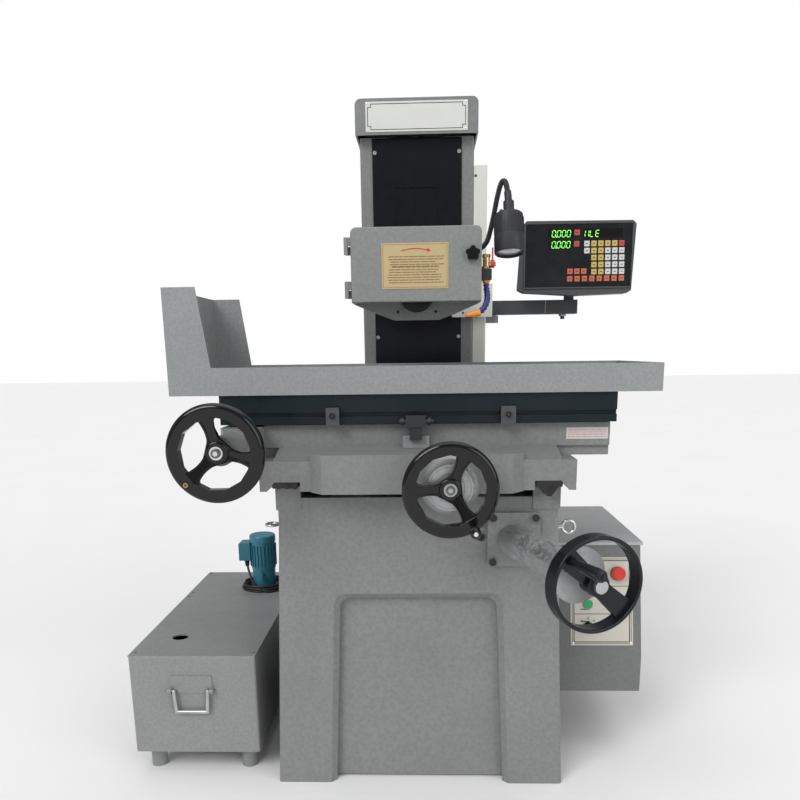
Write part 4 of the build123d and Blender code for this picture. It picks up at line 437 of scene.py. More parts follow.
def add_lathe(bm, profile, matrix, steps=48):
    """Closed body of revolution about Z: profile is a list of (radius, height)."""
    rings = []
    for radius, height in profile:
        ring = []
        if radius < 1e-6:
            ring.append(bm.verts.new(matrix @ Vector((0, 0, height))))
        else:
            for i in range(steps):
                angle = 2 * math.pi * i / steps
                point = Vector((radius * math.cos(angle), radius * math.sin(angle), height))
                ring.append(bm.verts.new(matrix @ point))
        rings.append(ring)
    for a, b in zip(rings, rings[1:]):
        for i in range(steps):
            j = (i + 1) % steps
            quad = [a[i % len(a)], a[j % len(a)], b[j % len(b)], b[i % len(b)]]
            corners = list(dict.fromkeys(quad))
            if len(corners) > 2:
                bm.faces.new(corners)


def add_sweep(bm, points, radii, sides=16):
    """Tube along the points, one radius for each, closed at both ends."""
    frames = []
    side = None
    for i, point in enumerate(points):
        ahead = points[min(i + 1, len(points) - 1)]
        behind = points[max(i - 1, 0)]
        along = (ahead - behind).normalized()
        if side is None:
            side = along.orthogonal().normalized()
        side = (side - along * side.dot(along)).normalized()
        frames.append((point, side, along.cross(side)))
    rings = []
    for (point, u, v), radius in zip(frames, radii):
        ring = []
        for k in range(sides):
            angle = 2 * math.pi * k / sides
            ring.append(bm.verts.new(point + radius * (math.cos(angle) * u + math.sin(angle) * v)))
        rings.append(ring)
    for a, b in zip(rings, rings[1:]):
        for k in range(sides):
            bm.faces.new((a[k], a[(k + 1) % sides], b[(k + 1) % sides], b[k]))
    bm.faces.new(rings[0])
    bm.faces.new(rings[-1])


def spline_object(name, points, radius, resolution=12):
    curve = bpy.data.curves.new(name, "CURVE")
    curve.dimensions = "3D"
    curve.bevel_depth = radius
    curve.bevel_resolution = 5
    curve.resolution_u = resolution
    curve.use_fill_caps = True
    spline = curve.splines.new("NURBS")
    spline.points.add(len(points) - 1)
    for point, place in zip(spline.points, points):
        point.co = (*place, 1.0)
    spline.order_u = 3
    spline.use_endpoint_u = True
    obj = bpy.data.objects.new(name, curve)
    bpy.context.scene.collection.objects.link(obj)
    return obj


def smooth_line(points, resolution=12):
    """Points read along the NURBS spline of a route."""
    guide = spline_object("guide", points, 0.0, resolution)
    bpy.context.view_layer.update()
    mesh = bpy.data.meshes.new_from_object(guide.evaluated_get(bpy.context.evaluated_depsgraph_get()))
    line = [v.co.copy() for v in mesh.vertices]
    curve = guide.data
    bpy.data.objects.remove(guide)
    bpy.data.curves.remove(curve)
    bpy.data.meshes.remove(mesh)
    return line


def even_points(line, step):
    """Points a fixed distance apart along a line."""
    out, left = [line[0]], step
    for a, b in zip(line, line[1:]):
        run = (b - a).length
        while run >= left:
            a = a + (b - a).normalized() * left
            out.append(a)
            run -= left
            left = step
        left -= run
    return out


def in_metres(route):
    return [Vector(point) * MM for point in route]


# ---- pump cable -------------------------------------------------------------
CABLE_R = 3.5
CABLE_ROUTE = [
    (-553.0, 185.0, 412.0),
    (-553.0, 185.0, 394.0),
    (-547.0, 178.0, 374.0),
    (-537.0, 163.0, 357.0),
    (-528.0, 145.0, 344.0),
    (-515.0, 130.0, 335.0),
    (-500.0, 121.5, 331.0),
]
COIL_CENTRE = (-500.0, 185.0)
COIL_FLOOR = 322.0
COIL_RINGS = [(71.0, 0), (62.4, 0), (53.8, 0), (58.1, 1), (66.7, 1), (62.4, 2)]
COIL_STEPS = 15


def coil_points():
    """Loose turns round the pump's foot, in three layers, each passing to the next in one short stretch."""
    points = []
    total = len(COIL_RINGS) * COIL_STEPS
    for k in range(1, total - 3):
        turn, part = divmod(k, COIL_STEPS)
        now, after = COIL_RINGS[turn], COIL_RINGS[min(turn + 1, len(COIL_RINGS) - 1)]
        share = max(0.0, (part - (COIL_STEPS - 4)) / 4)
        share = share * share * (3 - 2 * share)
        radius = (now[0] + (after[0] - now[0]) * share) * 1.01
        layer = now[1] + (after[1] - now[1]) * share
        angle = math.radians(-93) + 2 * math.pi * k / COIL_STEPS
        radius += 0.5 * math.sin(3 * angle + turn)
        x = COIL_CENTRE[0] + radius * math.cos(angle)
        y = COIL_CENTRE[1] + radius * math.sin(angle)
        points.append((x, y, COIL_FLOOR + CABLE_R + 0.3 + 7.5 * layer))
    return points


def spline_length(obj):
    plain = smooth_line([Vector(p.co[:3]) for p in obj.data.splines[0].points])
    return sum((b - a).length for a, b in zip(plain, plain[1:]))


def add_cable():
    cable = spline_object("pump_lead", in_metres(CABLE_ROUTE + coil_points()), CABLE_R * MM)
    cable.data.materials.append(MATERIALS["sheath"])
    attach(cable, "frame")
    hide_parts("pump_cable", "pump_cable_coil")
    spline_length(cable)
    bm = bmesh.new()
    gland = axes(Vector(CABLE_ROUTE[0]) * MM, -UP, FRONT)
    profile = [
        (0.0, -0.004), (0.0095, -0.004), (0.0095, 0.003), (0.0075, 0.005), (0.0058, 0.020), (0.0, 0.020)
    ]
    add_lathe(bm, profile, gland, 24)
    finish_mesh(bm, "cable_gland", "frame", "black_matt")


add_camera()
add_cable()


# ---- small things on the base, cabinet and head -------------------------------
PANEL_W = 0.163
PANEL_LOW = -0.108
PANEL_HIGH = 0.124


def slope_place():
    """Origin where the start button's axis meets the sloping face."""
    normal = Vector((0, -293.0, 70.0)).normalized()
    place = Vector((445.0, -180.0 - 70.0 * (555.0 - 397.0) / 293.0, 397.0)) * MM
    return axes(place, normal)


def add_control_panel():
    m = slope_place()
    left, right = -0.046, -0.046 + PANEL_W
    bottom, top = PANEL_LOW, PANEL_HIGH
    bm = bmesh.new()
    add_box(bm, (left, bottom, 0), (right, top, 0.0012), m)
    finish_mesh(bm, "control_plate", "frame", "panel_beige", 0.0004)
    ink = bmesh.new()
    for inset, wide in ((0.004, 0.0012), (0.008, 0.0022)):
        x0, x1, y0, y1 = left + inset, right - inset, bottom + inset, top - inset
        add_box(ink, (x0, y0, 0.0011), (x1, y0 + wide, 0.0015), m)
        add_box(ink, (x0, y1 - wide, 0.0011), (x1, y1, 0.0015), m)
        add_box(ink, (x0, y0, 0.0011), (x0 + wide, y1, 0.0015), m)
        add_box(ink, (x1 - wide, y0, 0.0011), (x1, y1, 0.0015), m)
    for up in (0.047, -0.026):
        add_box(ink, (left + 0.010, up, 0.0011), (right - 0.010, up + 0.0016, 0.0015), m)
    for up in (0.066, 0.030, -0.014, -0.046):
        add_box(ink, (left + 0.026, up, 0.0011), (left + 0.050, up + 0.0022, 0.0015), m)
    for angle in (-45, 0, 45):
        turn = m @ Matrix.Translation((0, -0.058, 0)) @ Matrix.Rotation(math.radians(angle), 4, "Z")
        add_box(ink, (-0.001, 0.018, 0.0011), (0.001, 0.025, 0.0015), turn)
    finish_mesh(ink, "control_plate_lines", "frame", "ink")
    screws = bmesh.new()
    for x in (left + 0.006, right - 0.006):
        for up in (bottom + 0.006, top - 0.006):
            spot = m @ Matrix.Translation((x, up, 0.001))
            add_lathe(
                screws, [(0, 0), (0.0032, 0), (0.0032, 0.001), (0.002, 0.0018), (0, 0.0018)], spot, 20
            )
    finish_mesh(screws, "control_plate_screws", "frame", "bright_steel")


def ring_round(bm, matrix, inner, outer, height):
    add_lathe(
        bm,
        [
            (inner, 0), (outer, 0), (outer, height * 0.7),
            (outer - 0.0008, height), (inner, height), (inner, 0),
        ],
        matrix,
        40,
    )


def add_control_rings():
    m = slope_place()
    bm = bmesh.new()
    ring_round(bm, m @ Matrix.Translation((0, 0, 0.001)), 0.0078, 0.0135, 0.0022)
    ring_round(bm, m @ Matrix.Translation((0, -0.0586, 0.001)), 0.0078, 0.0120, 0.0008)
    finish_mesh(bm, "button_rings", "frame", "bright_steel")
    gold = bmesh.new()
    ring_round(gold, m @ Matrix.Translation((0.077, 0.0812, 0.001)), 0.0078, 0.0185, 0.0120)
    finish_mesh(gold, "stop_collar", "frame", "black_matt")


def add_cabinet_top_glare():
    # Pale sheet over the cabinet's top and its front edge: painted reflection, drawn lighter than the
    # cabinet's grey for the glare of light on it.
    hi = high("cabinet_shell")
    bm = bmesh.new()
    add_box(
        bm, (CABINET_LEFT, CABINET_TOP_FRONT - 0.004, hi.z - 0.006),
        (hi.x - 0.004, CABINET_TOP_FRONT + 0.002, hi.z + 0.002),
    )
    add_box(
        bm, (CABINET_LEFT, CABINET_TOP_FRONT, hi.z),
        (hi.x - 0.004, high("cabinet_shell").y - 0.002, hi.z + 0.002),
    )
    finish_mesh(bm, "cabinet_top_painted_glare", "frame", "lid_painted_glare", 0.0008)


def add_base_plugs():
    bm = bmesh.new()
    m = axes(Vector((0.1465, BASE_FRONT, 0.6325)), FRONT)
    add_lathe(
        bm,
        [
            (0.0, 0.0), (0.009, 0.0), (0.009, 0.004), (0.0075, 0.006), (0.004, 0.006), (0.0035, 0.002),
            (0.0, 0.002)
        ],
        m, 24
    )
    finish_mesh(bm, "base_plug", "frame", "black_matt")


SCREW_FACE = [
    (0.0, 0.0), (0.0088, 0.0), (0.0088, 0.0008), (0.0045, 0.0010), (0.0042, 0.0003), (0.0, 0.0003)
]


def add_black_screws():
    """Dark heads over the four screws of the elevating tube's plate."""
    bm = bmesh.new()
    front = BASE_FRONT - 0.020
    for x in (0.173, 0.269):
        for z in (0.577, 0.681):
            m = axes(Vector((x, front, z)), FRONT)
            add_lathe(bm, SCREW_FACE, m, 28)
    finish_mesh(bm, "plate_screw_faces", "frame", "black_matt")
    chin = bmesh.new()
    for x in (-0.046, 0.046):
        add_lathe(chin, SCREW_FACE, axes(Vector((x, low("head_casting").y, 1.147)), FRONT), 28)
    finish_mesh(chin, "chin_screws", "head", "black_matt")


# ---- handwheels ---------------------------------------------------------------
def dial_marks(name, matrix, radius, depth, count, body, every=5):
    """Graduation lines round a dial's rim and a few plain numerals' places as longer lines."""
    bm = bmesh.new()
    for i in range(count):
        length = depth * (0.75 if i % (2 * every) == 0 else 0.5 if i % every == 0 else 0.3)
        turn = matrix @ Matrix.Rotation(2 * math.pi * i / count, 4, "Z")
        add_box(
            bm, (radius - 0.0004, -0.0003, depth - length), (radius + 0.0002, 0.0003, depth - 0.0005),
            turn
        )
    finish_mesh(bm, name, body, "ink", smooth=False)


def dial_face(name, matrix, radius, body):
    """Engraved circles on a dial's front face."""
    bm = bmesh.new()
    for r in (radius * 0.62, radius * 0.9):
        add_lathe(
            bm, [(r, 0.0), (r + 0.0006, 0.0), (r + 0.0006, 0.0003), (r, 0.0003), (r, 0.0)], matrix, 64
        )
    finish_mesh(bm, name, body, "ink")


def hub_cap(name, matrix, body):
    """Washer with a socket screw in a wheel's hub."""
    bm = bmesh.new()
    profile = [
        (0.0, 0.0), (0.0145, 0.0), (0.0145, 0.0018), (0.0095, 0.0022), (0.0095, 0.0085),
        (0.0085, 0.0098), (0.0050, 0.0098), (0.0045, 0.0050), (0.0, 0.0050),
    ]
    add_lathe(bm, profile, matrix, 36)
    finish_mesh(bm, name, body, "hub_metal")


WEB_FRONT = 6.6
WEB_DISH = 15.0
RIB_RISE = 1.4


def spoke_ribs(name, matrix, angles, body):
    """Raised ribs that run along each spoke from the hub to the rim."""
    bm = bmesh.new()
    for angle in angles:
        for side in (-1, 1):
            turn = matrix @ Matrix.Rotation(math.radians(angle), 4, "Z")
            points = []
            for along, aside in ((22, 10), (40, 9), (56, 9.5), (74, 15)):
                lift = WEB_FRONT + RIB_RISE - WEB_DISH * (1 - (along - 21) / 61)
                points.append(turn @ Vector((along * MM, side * aside * MM, lift * MM)))
            add_sweep(bm, smooth_line(points, 8), [0.0022] * 99, 10)
    finish_mesh(bm, name, body, "black_gloss")


def add_wheels():
    hub = middle("table_handwheel")
    face = axes(Vector((hub.x, TABLE_WHEEL_FACE, hub.z)), FRONT)
    spoke_ribs("table_wheel_ribs", face, (102, -10, 225), "table_wheel")
    front = low("table_drive_shaft").y
    hub_cap("table_wheel_cap", axes(Vector((hub.x, front + 0.0095, hub.z)), FRONT), "table_wheel")
    bm = bmesh.new()
    spot = face @ Matrix.Rotation(math.radians(225), 4, "Z") @ Matrix.Translation((0.090, 0, 0.0))
    add_lathe(
        bm, [(0.0034, -0.008), (0.0049, -0.008), (0.0049, 0.0128), (0.0034, 0.0128), (0.0034, -0.008)],
        spot, 24
    )
    finish_mesh(bm, "table_wheel_insert", "table_wheel", "brass")
    cross = middle("cross_screw")
    face = axes(Vector((cross.x, CROSS_WHEEL_FACE, cross.z)), FRONT)
    spoke_ribs("cross_wheel_ribs", face, (68, 180, -57), "cross_wheel")
    front = low("cross_screw").y
    hub_cap("cross_wheel_cap", axes(Vector((cross.x, front + 0.0095, cross.z)), FRONT), "cross_wheel")
    dial_back = APRON_FRONT - 0.012 - 0.001
    m = axes(Vector((cross.x, dial_back, cross.z)), FRONT)
    dial_marks("cross_dial_marks", m, CROSS_DIAL_R, CROSS_DIAL_T, 100, "cross_wheel")
    dial_front = axes(Vector((cross.x, dial_back - CROSS_DIAL_T, cross.z)), FRONT)
    dial_face("cross_dial_face", dial_front, CROSS_DIAL_R, "cross_wheel")
    grip_end = low("cross_handle")
    centre = middle("cross_handle")
    bm = bmesh.new()
    m = axes(Vector((centre.x, grip_end.y + 0.0005, centre.z)), FRONT)
    add_lathe(bm, [(0, -0.002), (0.0048, -0.002), (0.0048, 0.0012), (0.0036, 0.0022), (0, 0.0024)], m, 24)
    finish_mesh(bm, "cross_handle_screw", "cross_wheel", "bright_steel")


# ---- wheel guard, nameplate and stickers ---------------------------------------
def add_plate(name, lo, hi, y, body, look, thick=0.0012, bevel=0.0004):
    bm = bmesh.new()
    add_box(bm, (lo[0], y - thick, lo[1]), (hi[0], y, hi[1]))
    return finish_mesh(bm, name, body, look, bevel)


def add_frame_lines(bm, lo, hi, y, wide, thick=0.0003):
    add_box(bm, (lo[0], y - thick, lo[1]), (hi[0], y, lo[1] + wide))
    add_box(bm, (lo[0], y - thick, hi[1] - wide), (hi[0], y, hi[1]))
    add_box(bm, (lo[0], y - thick, lo[1]), (lo[0] + wide, y, hi[1]))
    add_box(bm, (hi[0] - wide, y - thick, lo[1]), (hi[0], y, hi[1]))


def add_door_label():
    y = low("guard_door").y
    lo, hi = (-0.0795, 1.1940), (0.0745, 1.2950)
    add_plate("door_label", lo, hi, y, "guard_door", "tan")
    ink = bmesh.new()
    face = y - 0.0012
    add_frame_lines(ink, (lo[0] + 0.003, lo[1] + 0.003), (hi[0] - 0.003, hi[1] - 0.003), face, 0.0008)
    rows = random.Random(4)
    for i in range(11):
        z = 1.2640 - i * 0.0057
        start = -0.066 + rows.random() * 0.012
        end = 0.068 - rows.random() * 0.030
        x = start
        while x < end:
            step = min(0.006 + rows.random() * 0.016, end - x)
            add_box(ink, (x, face - 0.0003, z), (x + step, face, z + (0.0034 if i == 4 else 0.0019)))
            x += step + 0.0016
    finish_mesh(ink, "door_label_bars", "guard_door", "tan_ink", smooth=False)
    arrow = bmesh.new()
    steps = 14
    for i in range(steps):
        a = -0.034 + 0.060 * i / steps
        b = a + 0.0046
        lift = 0.0042 * math.sin(math.pi * i / steps)
        add_box(arrow, (a, face - 0.0004, 1.2770 + lift), (b, face, 1.2792 + lift))
    head = [(0.026, 1.2735), (0.026, 1.2835), (0.034, 1.2778)]
    verts = [arrow.verts.new((x, yy, z)) for yy in (face, face - 0.0004) for x, z in head]
    arrow.faces.new(verts[:3])
    arrow.faces.new(verts[3:])
    for i in range(3):
        j = (i + 1) % 3
        arrow.faces.new((verts[i], verts[j], verts[j + 3], verts[i + 3]))
    finish_mesh(arrow, "door_label_arrow", "guard_door", "red", smooth=False)


def add_nameplate():
    y = low("column_cap").y
    lo, hi = (-0.134, 1.6165), (0.134, 1.6895)
    add_plate("cap_plate", lo, hi, y, "frame", "plate_white", 0.0015)
    ink = bmesh.new()
    face, line, notch = y - 0.0015, 0.0016, 0.009
    x0, x1, z0, z1 = lo[0] + 0.005, hi[0] - 0.005, lo[1] + 0.005, hi[1] - 0.005
    for z in (z0, z1 - line):
        add_box(ink, (x0 + notch, face - 0.0003, z), (x1 - notch, face, z + line))
    for x in (x0, x1 - line):
        add_box(ink, (x, face - 0.0003, z0 + notch), (x + line, face, z1 - notch))
    for x, side in ((x0, 1), (x1, -1)):
        for z, up in ((z0, 1), (z1, -1)):
            near, far = sorted((x, x + side * notch)), sorted((z, z + up * notch))
            bend_x, bend_z = x + side * notch, z + up * notch
            add_box(ink, (near[0], face - 0.0003, bend_z - line / 2), (near[1], face, bend_z + line / 2))
            add_box(ink, (bend_x - line / 2, face - 0.0003, far[0]), (bend_x + line / 2, face, far[1]))
    finish_mesh(ink, "cap_plate_border", "frame", "ink")
    rivets = bmesh.new()
    for x in (lo[0] + 0.0045, hi[0] - 0.0045):
        for z in (lo[1] + 0.0045, hi[1] - 0.0045):
            m = axes(Vector((x, y - 0.0014, z)), FRONT)
            add_lathe(rivets, [(0, 0), (0.0026, 0), (0.0022, 0.0010), (0.001, 0.0016), (0, 0.0017)], m, 16)
    finish_mesh(rivets, "cap_plate_rivets", "frame", "bright_steel")


def add_sticker():
    y = SADDLE_FRONT
    add_plate(
        "saddle_sticker", (0.342, 0.8525), (0.4365, 0.8785), y, "saddle", "sticker",
        0.0006, 0.0
    )
    ink = bmesh.new()
    rows = random.Random(9)
    for i in range(4):
        x = 0.346
        while x < 0.430:
            step = min(0.005 + rows.random() * 0.010, 0.432 - x)
            add_box(ink, (x, y - 0.0009, 0.8725 - i * 0.0052), (x + step, y - 0.0006, 0.8738 - i * 0.0052))
            x += step + 0.0018
    finish_mesh(ink, "saddle_sticker_bars", "saddle", "sticker_ink", smooth=False)


def add_wiper_and_v_cover():
    """Black strips under the front of the saddle's wings: a rubber wiper over the left way, and over the
    right way a strip ending in a black V in front of the saddle's V tongue.
    """
    front, back = -0.4738, -0.4655
    bm = bmesh.new()
    add_box(bm, (-0.3240, front, 0.7580), (-0.2680, back, 0.7705))
    for i, drop in enumerate((0.0015, 0.0030, 0.0010, 0.0026, 0.0018, 0.0034)):
        x = -0.3235 + 0.0092 * i
        add_box(bm, (x, front + 0.0006, 0.7580 - drop), (x + 0.0086, back - 0.0006, 0.7590))
    # Over the right way: a black strip and a black V-shaped plate in front of the saddle's V tongue.
    add_box(bm, (0.2640, front, 0.7565), (0.3220, back, 0.7710))
    outline = [(0.2730, 0.7575), (0.2890, 0.7352), (0.2990, 0.7352), (0.3150, 0.7575)]
    verts = [bm.verts.new((x, y, z)) for y in (front + 0.0012, back - 0.0012) for x, z in outline]
    count = len(outline)
    bm.faces.new(verts[:count])
    bm.faces.new(list(reversed(verts[count:])))
    for i in range(count):
        j = (i + 1) % count
        bm.faces.new((verts[i], verts[i + count], verts[j + count], verts[j]))
    finish_mesh(bm, "way_wiper_and_v_cover", "saddle", "belt_rubber", 0.001)


def add_dog_screws():
    for side in ("left", "right"):
        node = "table_dog_" + side
        centre = middle(node)
        bm = bmesh.new()
        m = axes(Vector((centre.x, low(node).y - 0.0002, 0.913)), FRONT)
        add_lathe(
            bm,
            [
                (0.0030, 0.0), (0.0068, 0.0), (0.0068, 0.0014), (0.0060, 0.0020), (0.0034, 0.0020),
                (0.0030, 0.0)
            ],
            m, 6
        )
        finish_mesh(bm, node + "_screw", side + "_dog", "black_satin")


def add_stop_nuts():
    bm = bmesh.new()
    y = -0.414
    for x0, x1 in ((-0.036, -0.029), (0.025, 0.032)):
        m = axes(Vector((x0, y, 0.898)), RIGHT)
        add_lathe(bm, [(0, 0), (0.0095, 0), (0.0095, x1 - x0), (0, x1 - x0)], m, 6)
    finish_mesh(bm, "stop_lock_nuts", "saddle", "black_matt", smooth=False)
    foot = bmesh.new()
    add_box(foot, (-0.0325, -0.4015, 0.8355), (0.0285, -0.3865, 0.8645))
    finish_mesh(foot, "stop_foot_cap", "saddle", "sheet_grey", 0.002)


BRACKET_SCREW_Z = 1.1525


def add_cover_details():
    """Folded edges of the black column cover and the small screws of the scale bracket."""
    y = low("column_front_cover").y
    bm = bmesh.new()
    for x in (-0.1195, 0.1175):
        add_box(bm, (x, y - 0.0012, 0.770), (x + 0.002, y, 1.606))
    finish_mesh(bm, "cover_edges", "frame", "black_cover", 0.0004)
    screws = bmesh.new()
    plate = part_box("scale_bracket")
    for x in (0.078, 0.100, 0.122):
        m = axes(Vector((x, plate[0].y, BRACKET_SCREW_Z)), FRONT)
        add_lathe(screws, [(0, 0), (0.0028, 0), (0.0024, 0.0016), (0, 0.0019)], m, 16)
    finish_mesh(screws, "bracket_screws", "head", "black_matt")
    dot = bmesh.new()
    m = axes(Vector((0.158, low("scale_cover").y, 1.512)), FRONT)
    add_lathe(dot, [(0, 0), (0.0036, 0), (0.0030, 0.0016), (0, 0.0019)], m, 16)
    finish_mesh(dot, "scale_cover_screw", "frame", "black_matt")


# ---- lamp -----------------------------------------------------------------------
LAMP_ROUTE = [
    (128.0, -160.0, 1290.0),
    (168.0, -165.0, 1292.0),
    (184.0, -172.0, 1352.0),
    (196.0, -180.0, 1420.0),
    (205.0, -190.0, 1448.0),
    (216.0, -200.0, 1436.0),
    (219.0, -208.0, 1392.0),
]
LAMP_TOP = (219.0, -212.0, 1368.0)
LAMP_END = (221.0, -232.0, 1276.0)


def add_lamp():
    line = even_points(smooth_line(in_metres(LAMP_ROUTE), 16), 0.0009)
    radii = [0.0066 if (i % 4) < 2 else 0.0057 for i in range(len(line))]
    bm = bmesh.new()
    add_sweep(bm, line, radii, 18)
    m = axes(Vector((0.092, -0.160, 1.290)), RIGHT)
    add_lathe(
        bm,
        [
            (0, 0), (0.016, 0), (0.016, 0.016), (0.012, 0.020), (0.009, 0.022), (0.009, 0.037),
            (0, 0.037)
        ],
        m, 36
    )
    ball = axes(Vector(LAMP_ROUTE[-1]) * MM, UP)
    add_lathe(
        bm,
        [
            (0, -0.009), (0.0052, -0.0073), (0.0085, -0.003), (0.009, 0.0), (0.0078, 0.0045),
            (0.0066, 0.009), (0, 0.009)
        ],
        ball, 32
    )
    sleeve = [point for point in line if point.x > 0.2165 and point.z > 1.398]
    add_sweep(bm, sleeve, [0.0086] * len(sleeve), 20)
    neck = finish_mesh(bm, "lamp_conduit", "head", "black_matt")
    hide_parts("lamp_gooseneck")
    top, end = Vector(LAMP_TOP) * MM, Vector(LAMP_END) * MM
    down = (end - top).normalized()
    length = (end - top).length
    m = axes(top, down, RIGHT)
    shell = bmesh.new()
    profile = [
        (0.0, 0.002), (0.012, 0.002), (0.013, 0.0), (0.030, 0.001), (0.0335, 0.004), (0.0345, 0.012),
        (0.0345, 0.052), (0.0358, 0.055), (0.0360, length - 0.003), (0.0345, length), (0.0315, length),
        (0.0310, length - 0.008), (0.0, length - 0.008),
    ]
    add_lathe(shell, profile, m, 60)
    for i in range(30):
        turn = m @ Matrix.Rotation(2 * math.pi * i / 30, 4, "Z")
        add_box(shell, (0.0335, -0.0011, 0.012), (0.0358, 0.0011, 0.050), turn)
    ball_place = Vector(LAMP_ROUTE[-1]) * MM
    back = (top - ball_place).length
    cap = axes(ball_place, down, RIGHT)
    add_lathe(
        shell,
        [(0.0096, -0.004), (0.0122, -0.004), (0.0128, -0.002), (0.0128, back + 0.002), (0.0, back + 0.002),
         (0.0, 0.0098), (0.0088, 0.004), (0.0096, -0.004)],
        cap, 40,
    )
    head = finish_mesh(shell, "lamp_shade", "lamp_head", "black_matt", 0.0003)
    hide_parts("lamp_head")
    glass = bmesh.new()
    add_lathe(
        glass,
        [
            (0, length - 0.009), (0.031, length - 0.009), (0.031, length - 0.0065),
            (0.016, length - 0.0045), (0, length - 0.004)
        ],
        m, 48
    )
    finish_mesh(glass, "lamp_lens", "lamp_head", "lens")
    switch = bmesh.new()
    spot = m @ Matrix.Translation((-0.004, -0.018, 0.001)) @ Matrix.Rotation(math.pi, 4, "X")
    add_lathe(
        switch, [(0, 0), (0.006, 0), (0.006, 0.003), (0.0042, 0.0035), (0.0036, 0.009), (0, 0.0095)],
        spot, 24
    )
    finish_mesh(switch, "lamp_switch", "lamp_head", "black_gloss")


# ---- coolant hose -----------------------------------------------------------------
HOSE_ROUTE = [
    (164.0, -262.0, 1213.9),
    (164.0, -262.0, 1198.0),
    (167.0, -274.0, 1180.0),
    (165.0, -288.0, 1163.0),
    (157.0, -299.0, 1146.0),
    (143.0, -304.5, 1137.0),
]


def add_hose():
    """Ball-and-socket hose: each segment is a flared cup on the ball of the next."""
    line = even_points(smooth_line(in_metres(HOSE_ROUTE), 24), 0.0092)
    bm = bmesh.new()
    for a, b in zip(line, line[1:]):
        m = axes(a, b - a, RIGHT)
        profile = [
            (0.0, -0.0015), (0.0045, -0.0015), (0.0072, 0.0012), (0.0074, 0.0030), (0.0056, 0.0062),
            (0.0048, 0.0094), (0.0, 0.0094)
        ]
        add_lathe(bm, profile, m, 24)
    hose = finish_mesh(bm, "hose_segments", "coolant_hose", "hose_blue")
    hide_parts("coolant_hose")
    nozzle = bmesh.new()
    tip = Vector((0.114, -0.312, 1.1322))
    start = Vector((0.147, -0.3038, 1.1386))
    m = axes(start, tip - start, UP)
    run = (tip - start).length
    add_lathe(
        nozzle,
        [
            (0, 0), (0.0080, 0), (0.0080, 0.009), (0.0072, 0.011), (0.0042, run), (0.0030, run),
            (0.0028, run - 0.006), (0, run - 0.006)
        ],
        m, 28
    )
    top = axes(Vector(HOSE_ROUTE[0]) * MM, -UP, FRONT)
    add_lathe(nozzle, [(0, 0), (0.0086, 0), (0.0086, 0.0055), (0.0068, 0.0075), (0, 0.0075)], top, 6)
    finish_mesh(nozzle, "hose_nozzle", "coolant_hose", "orange", 0.0004)


def add_valve_details():
    top = high("coolant_valve").z
    bm = bmesh.new()
    add_box(bm, (0.1512, -0.2745, 1.2135), (0.1765, -0.2495, 1.2385))
    finish_mesh(bm, "valve_block", "head", "black_matt", 0.0018)
    nut = bmesh.new()
    m = axes(Vector((VALVE_X, VALVE_Y, 1.2385)), UP, FRONT)
    add_lathe(nut, [(0, 0), (0.0105, 0), (0.0105, 0.006), (0, 0.006)], m, 6)
    m = axes(Vector((VALVE_X, VALVE_Y, top - 0.008)), UP, FRONT)
    add_lathe(nut, [(0, 0), (0.0098, 0), (0.0098, 0.007), (0, 0.007)], m, 6)
    finish_mesh(nut, "valve_nuts", "head", "brass", 0.0005)
    silver = bmesh.new()
    m = axes(Vector((VALVE_X + 0.007, VALVE_Y, 1.250)), RIGHT)
    add_lathe(silver, [(0, 0), (0.0085, 0), (0.0085, 0.002), (0, 0.002)], m, 24)
    finish_mesh(silver, "valve_collar", "head", "bright_steel")


# ---- readout ------------------------------------------------------------------------
SEGMENTS = {
    "a": (0.5, 1.0, 1), "b": (1.0, 0.75, 0), "c": (1.0, 0.25, 0), "d": (0.5, 0.0, 1),
    "e": (0.0, 0.25, 0), "f": (0.0, 0.75, 0), "g": (0.5, 0.5, 1),
}
ZERO = "abcdef"


def add_digit(bm, x, z, y, width, height, lit):
    """Seven-segment figure leaning a little to the right."""
    thick = width * 0.16
    for name in lit:
        u, v, level = SEGMENTS[name]
        cx, cz = x + u * width + v * height * 0.12, z + v * height
        if level:
            add_box(
                bm, (cx - width * 0.36, y - 0.0004, cz - thick / 2),
                (cx + width * 0.36, y, cz + thick / 2)
            )
        else:
            add_box(
                bm, (cx - thick / 2, y - 0.0004, cz - height * 0.19),
                (cx + thick / 2, y, cz + height * 0.19)
            )


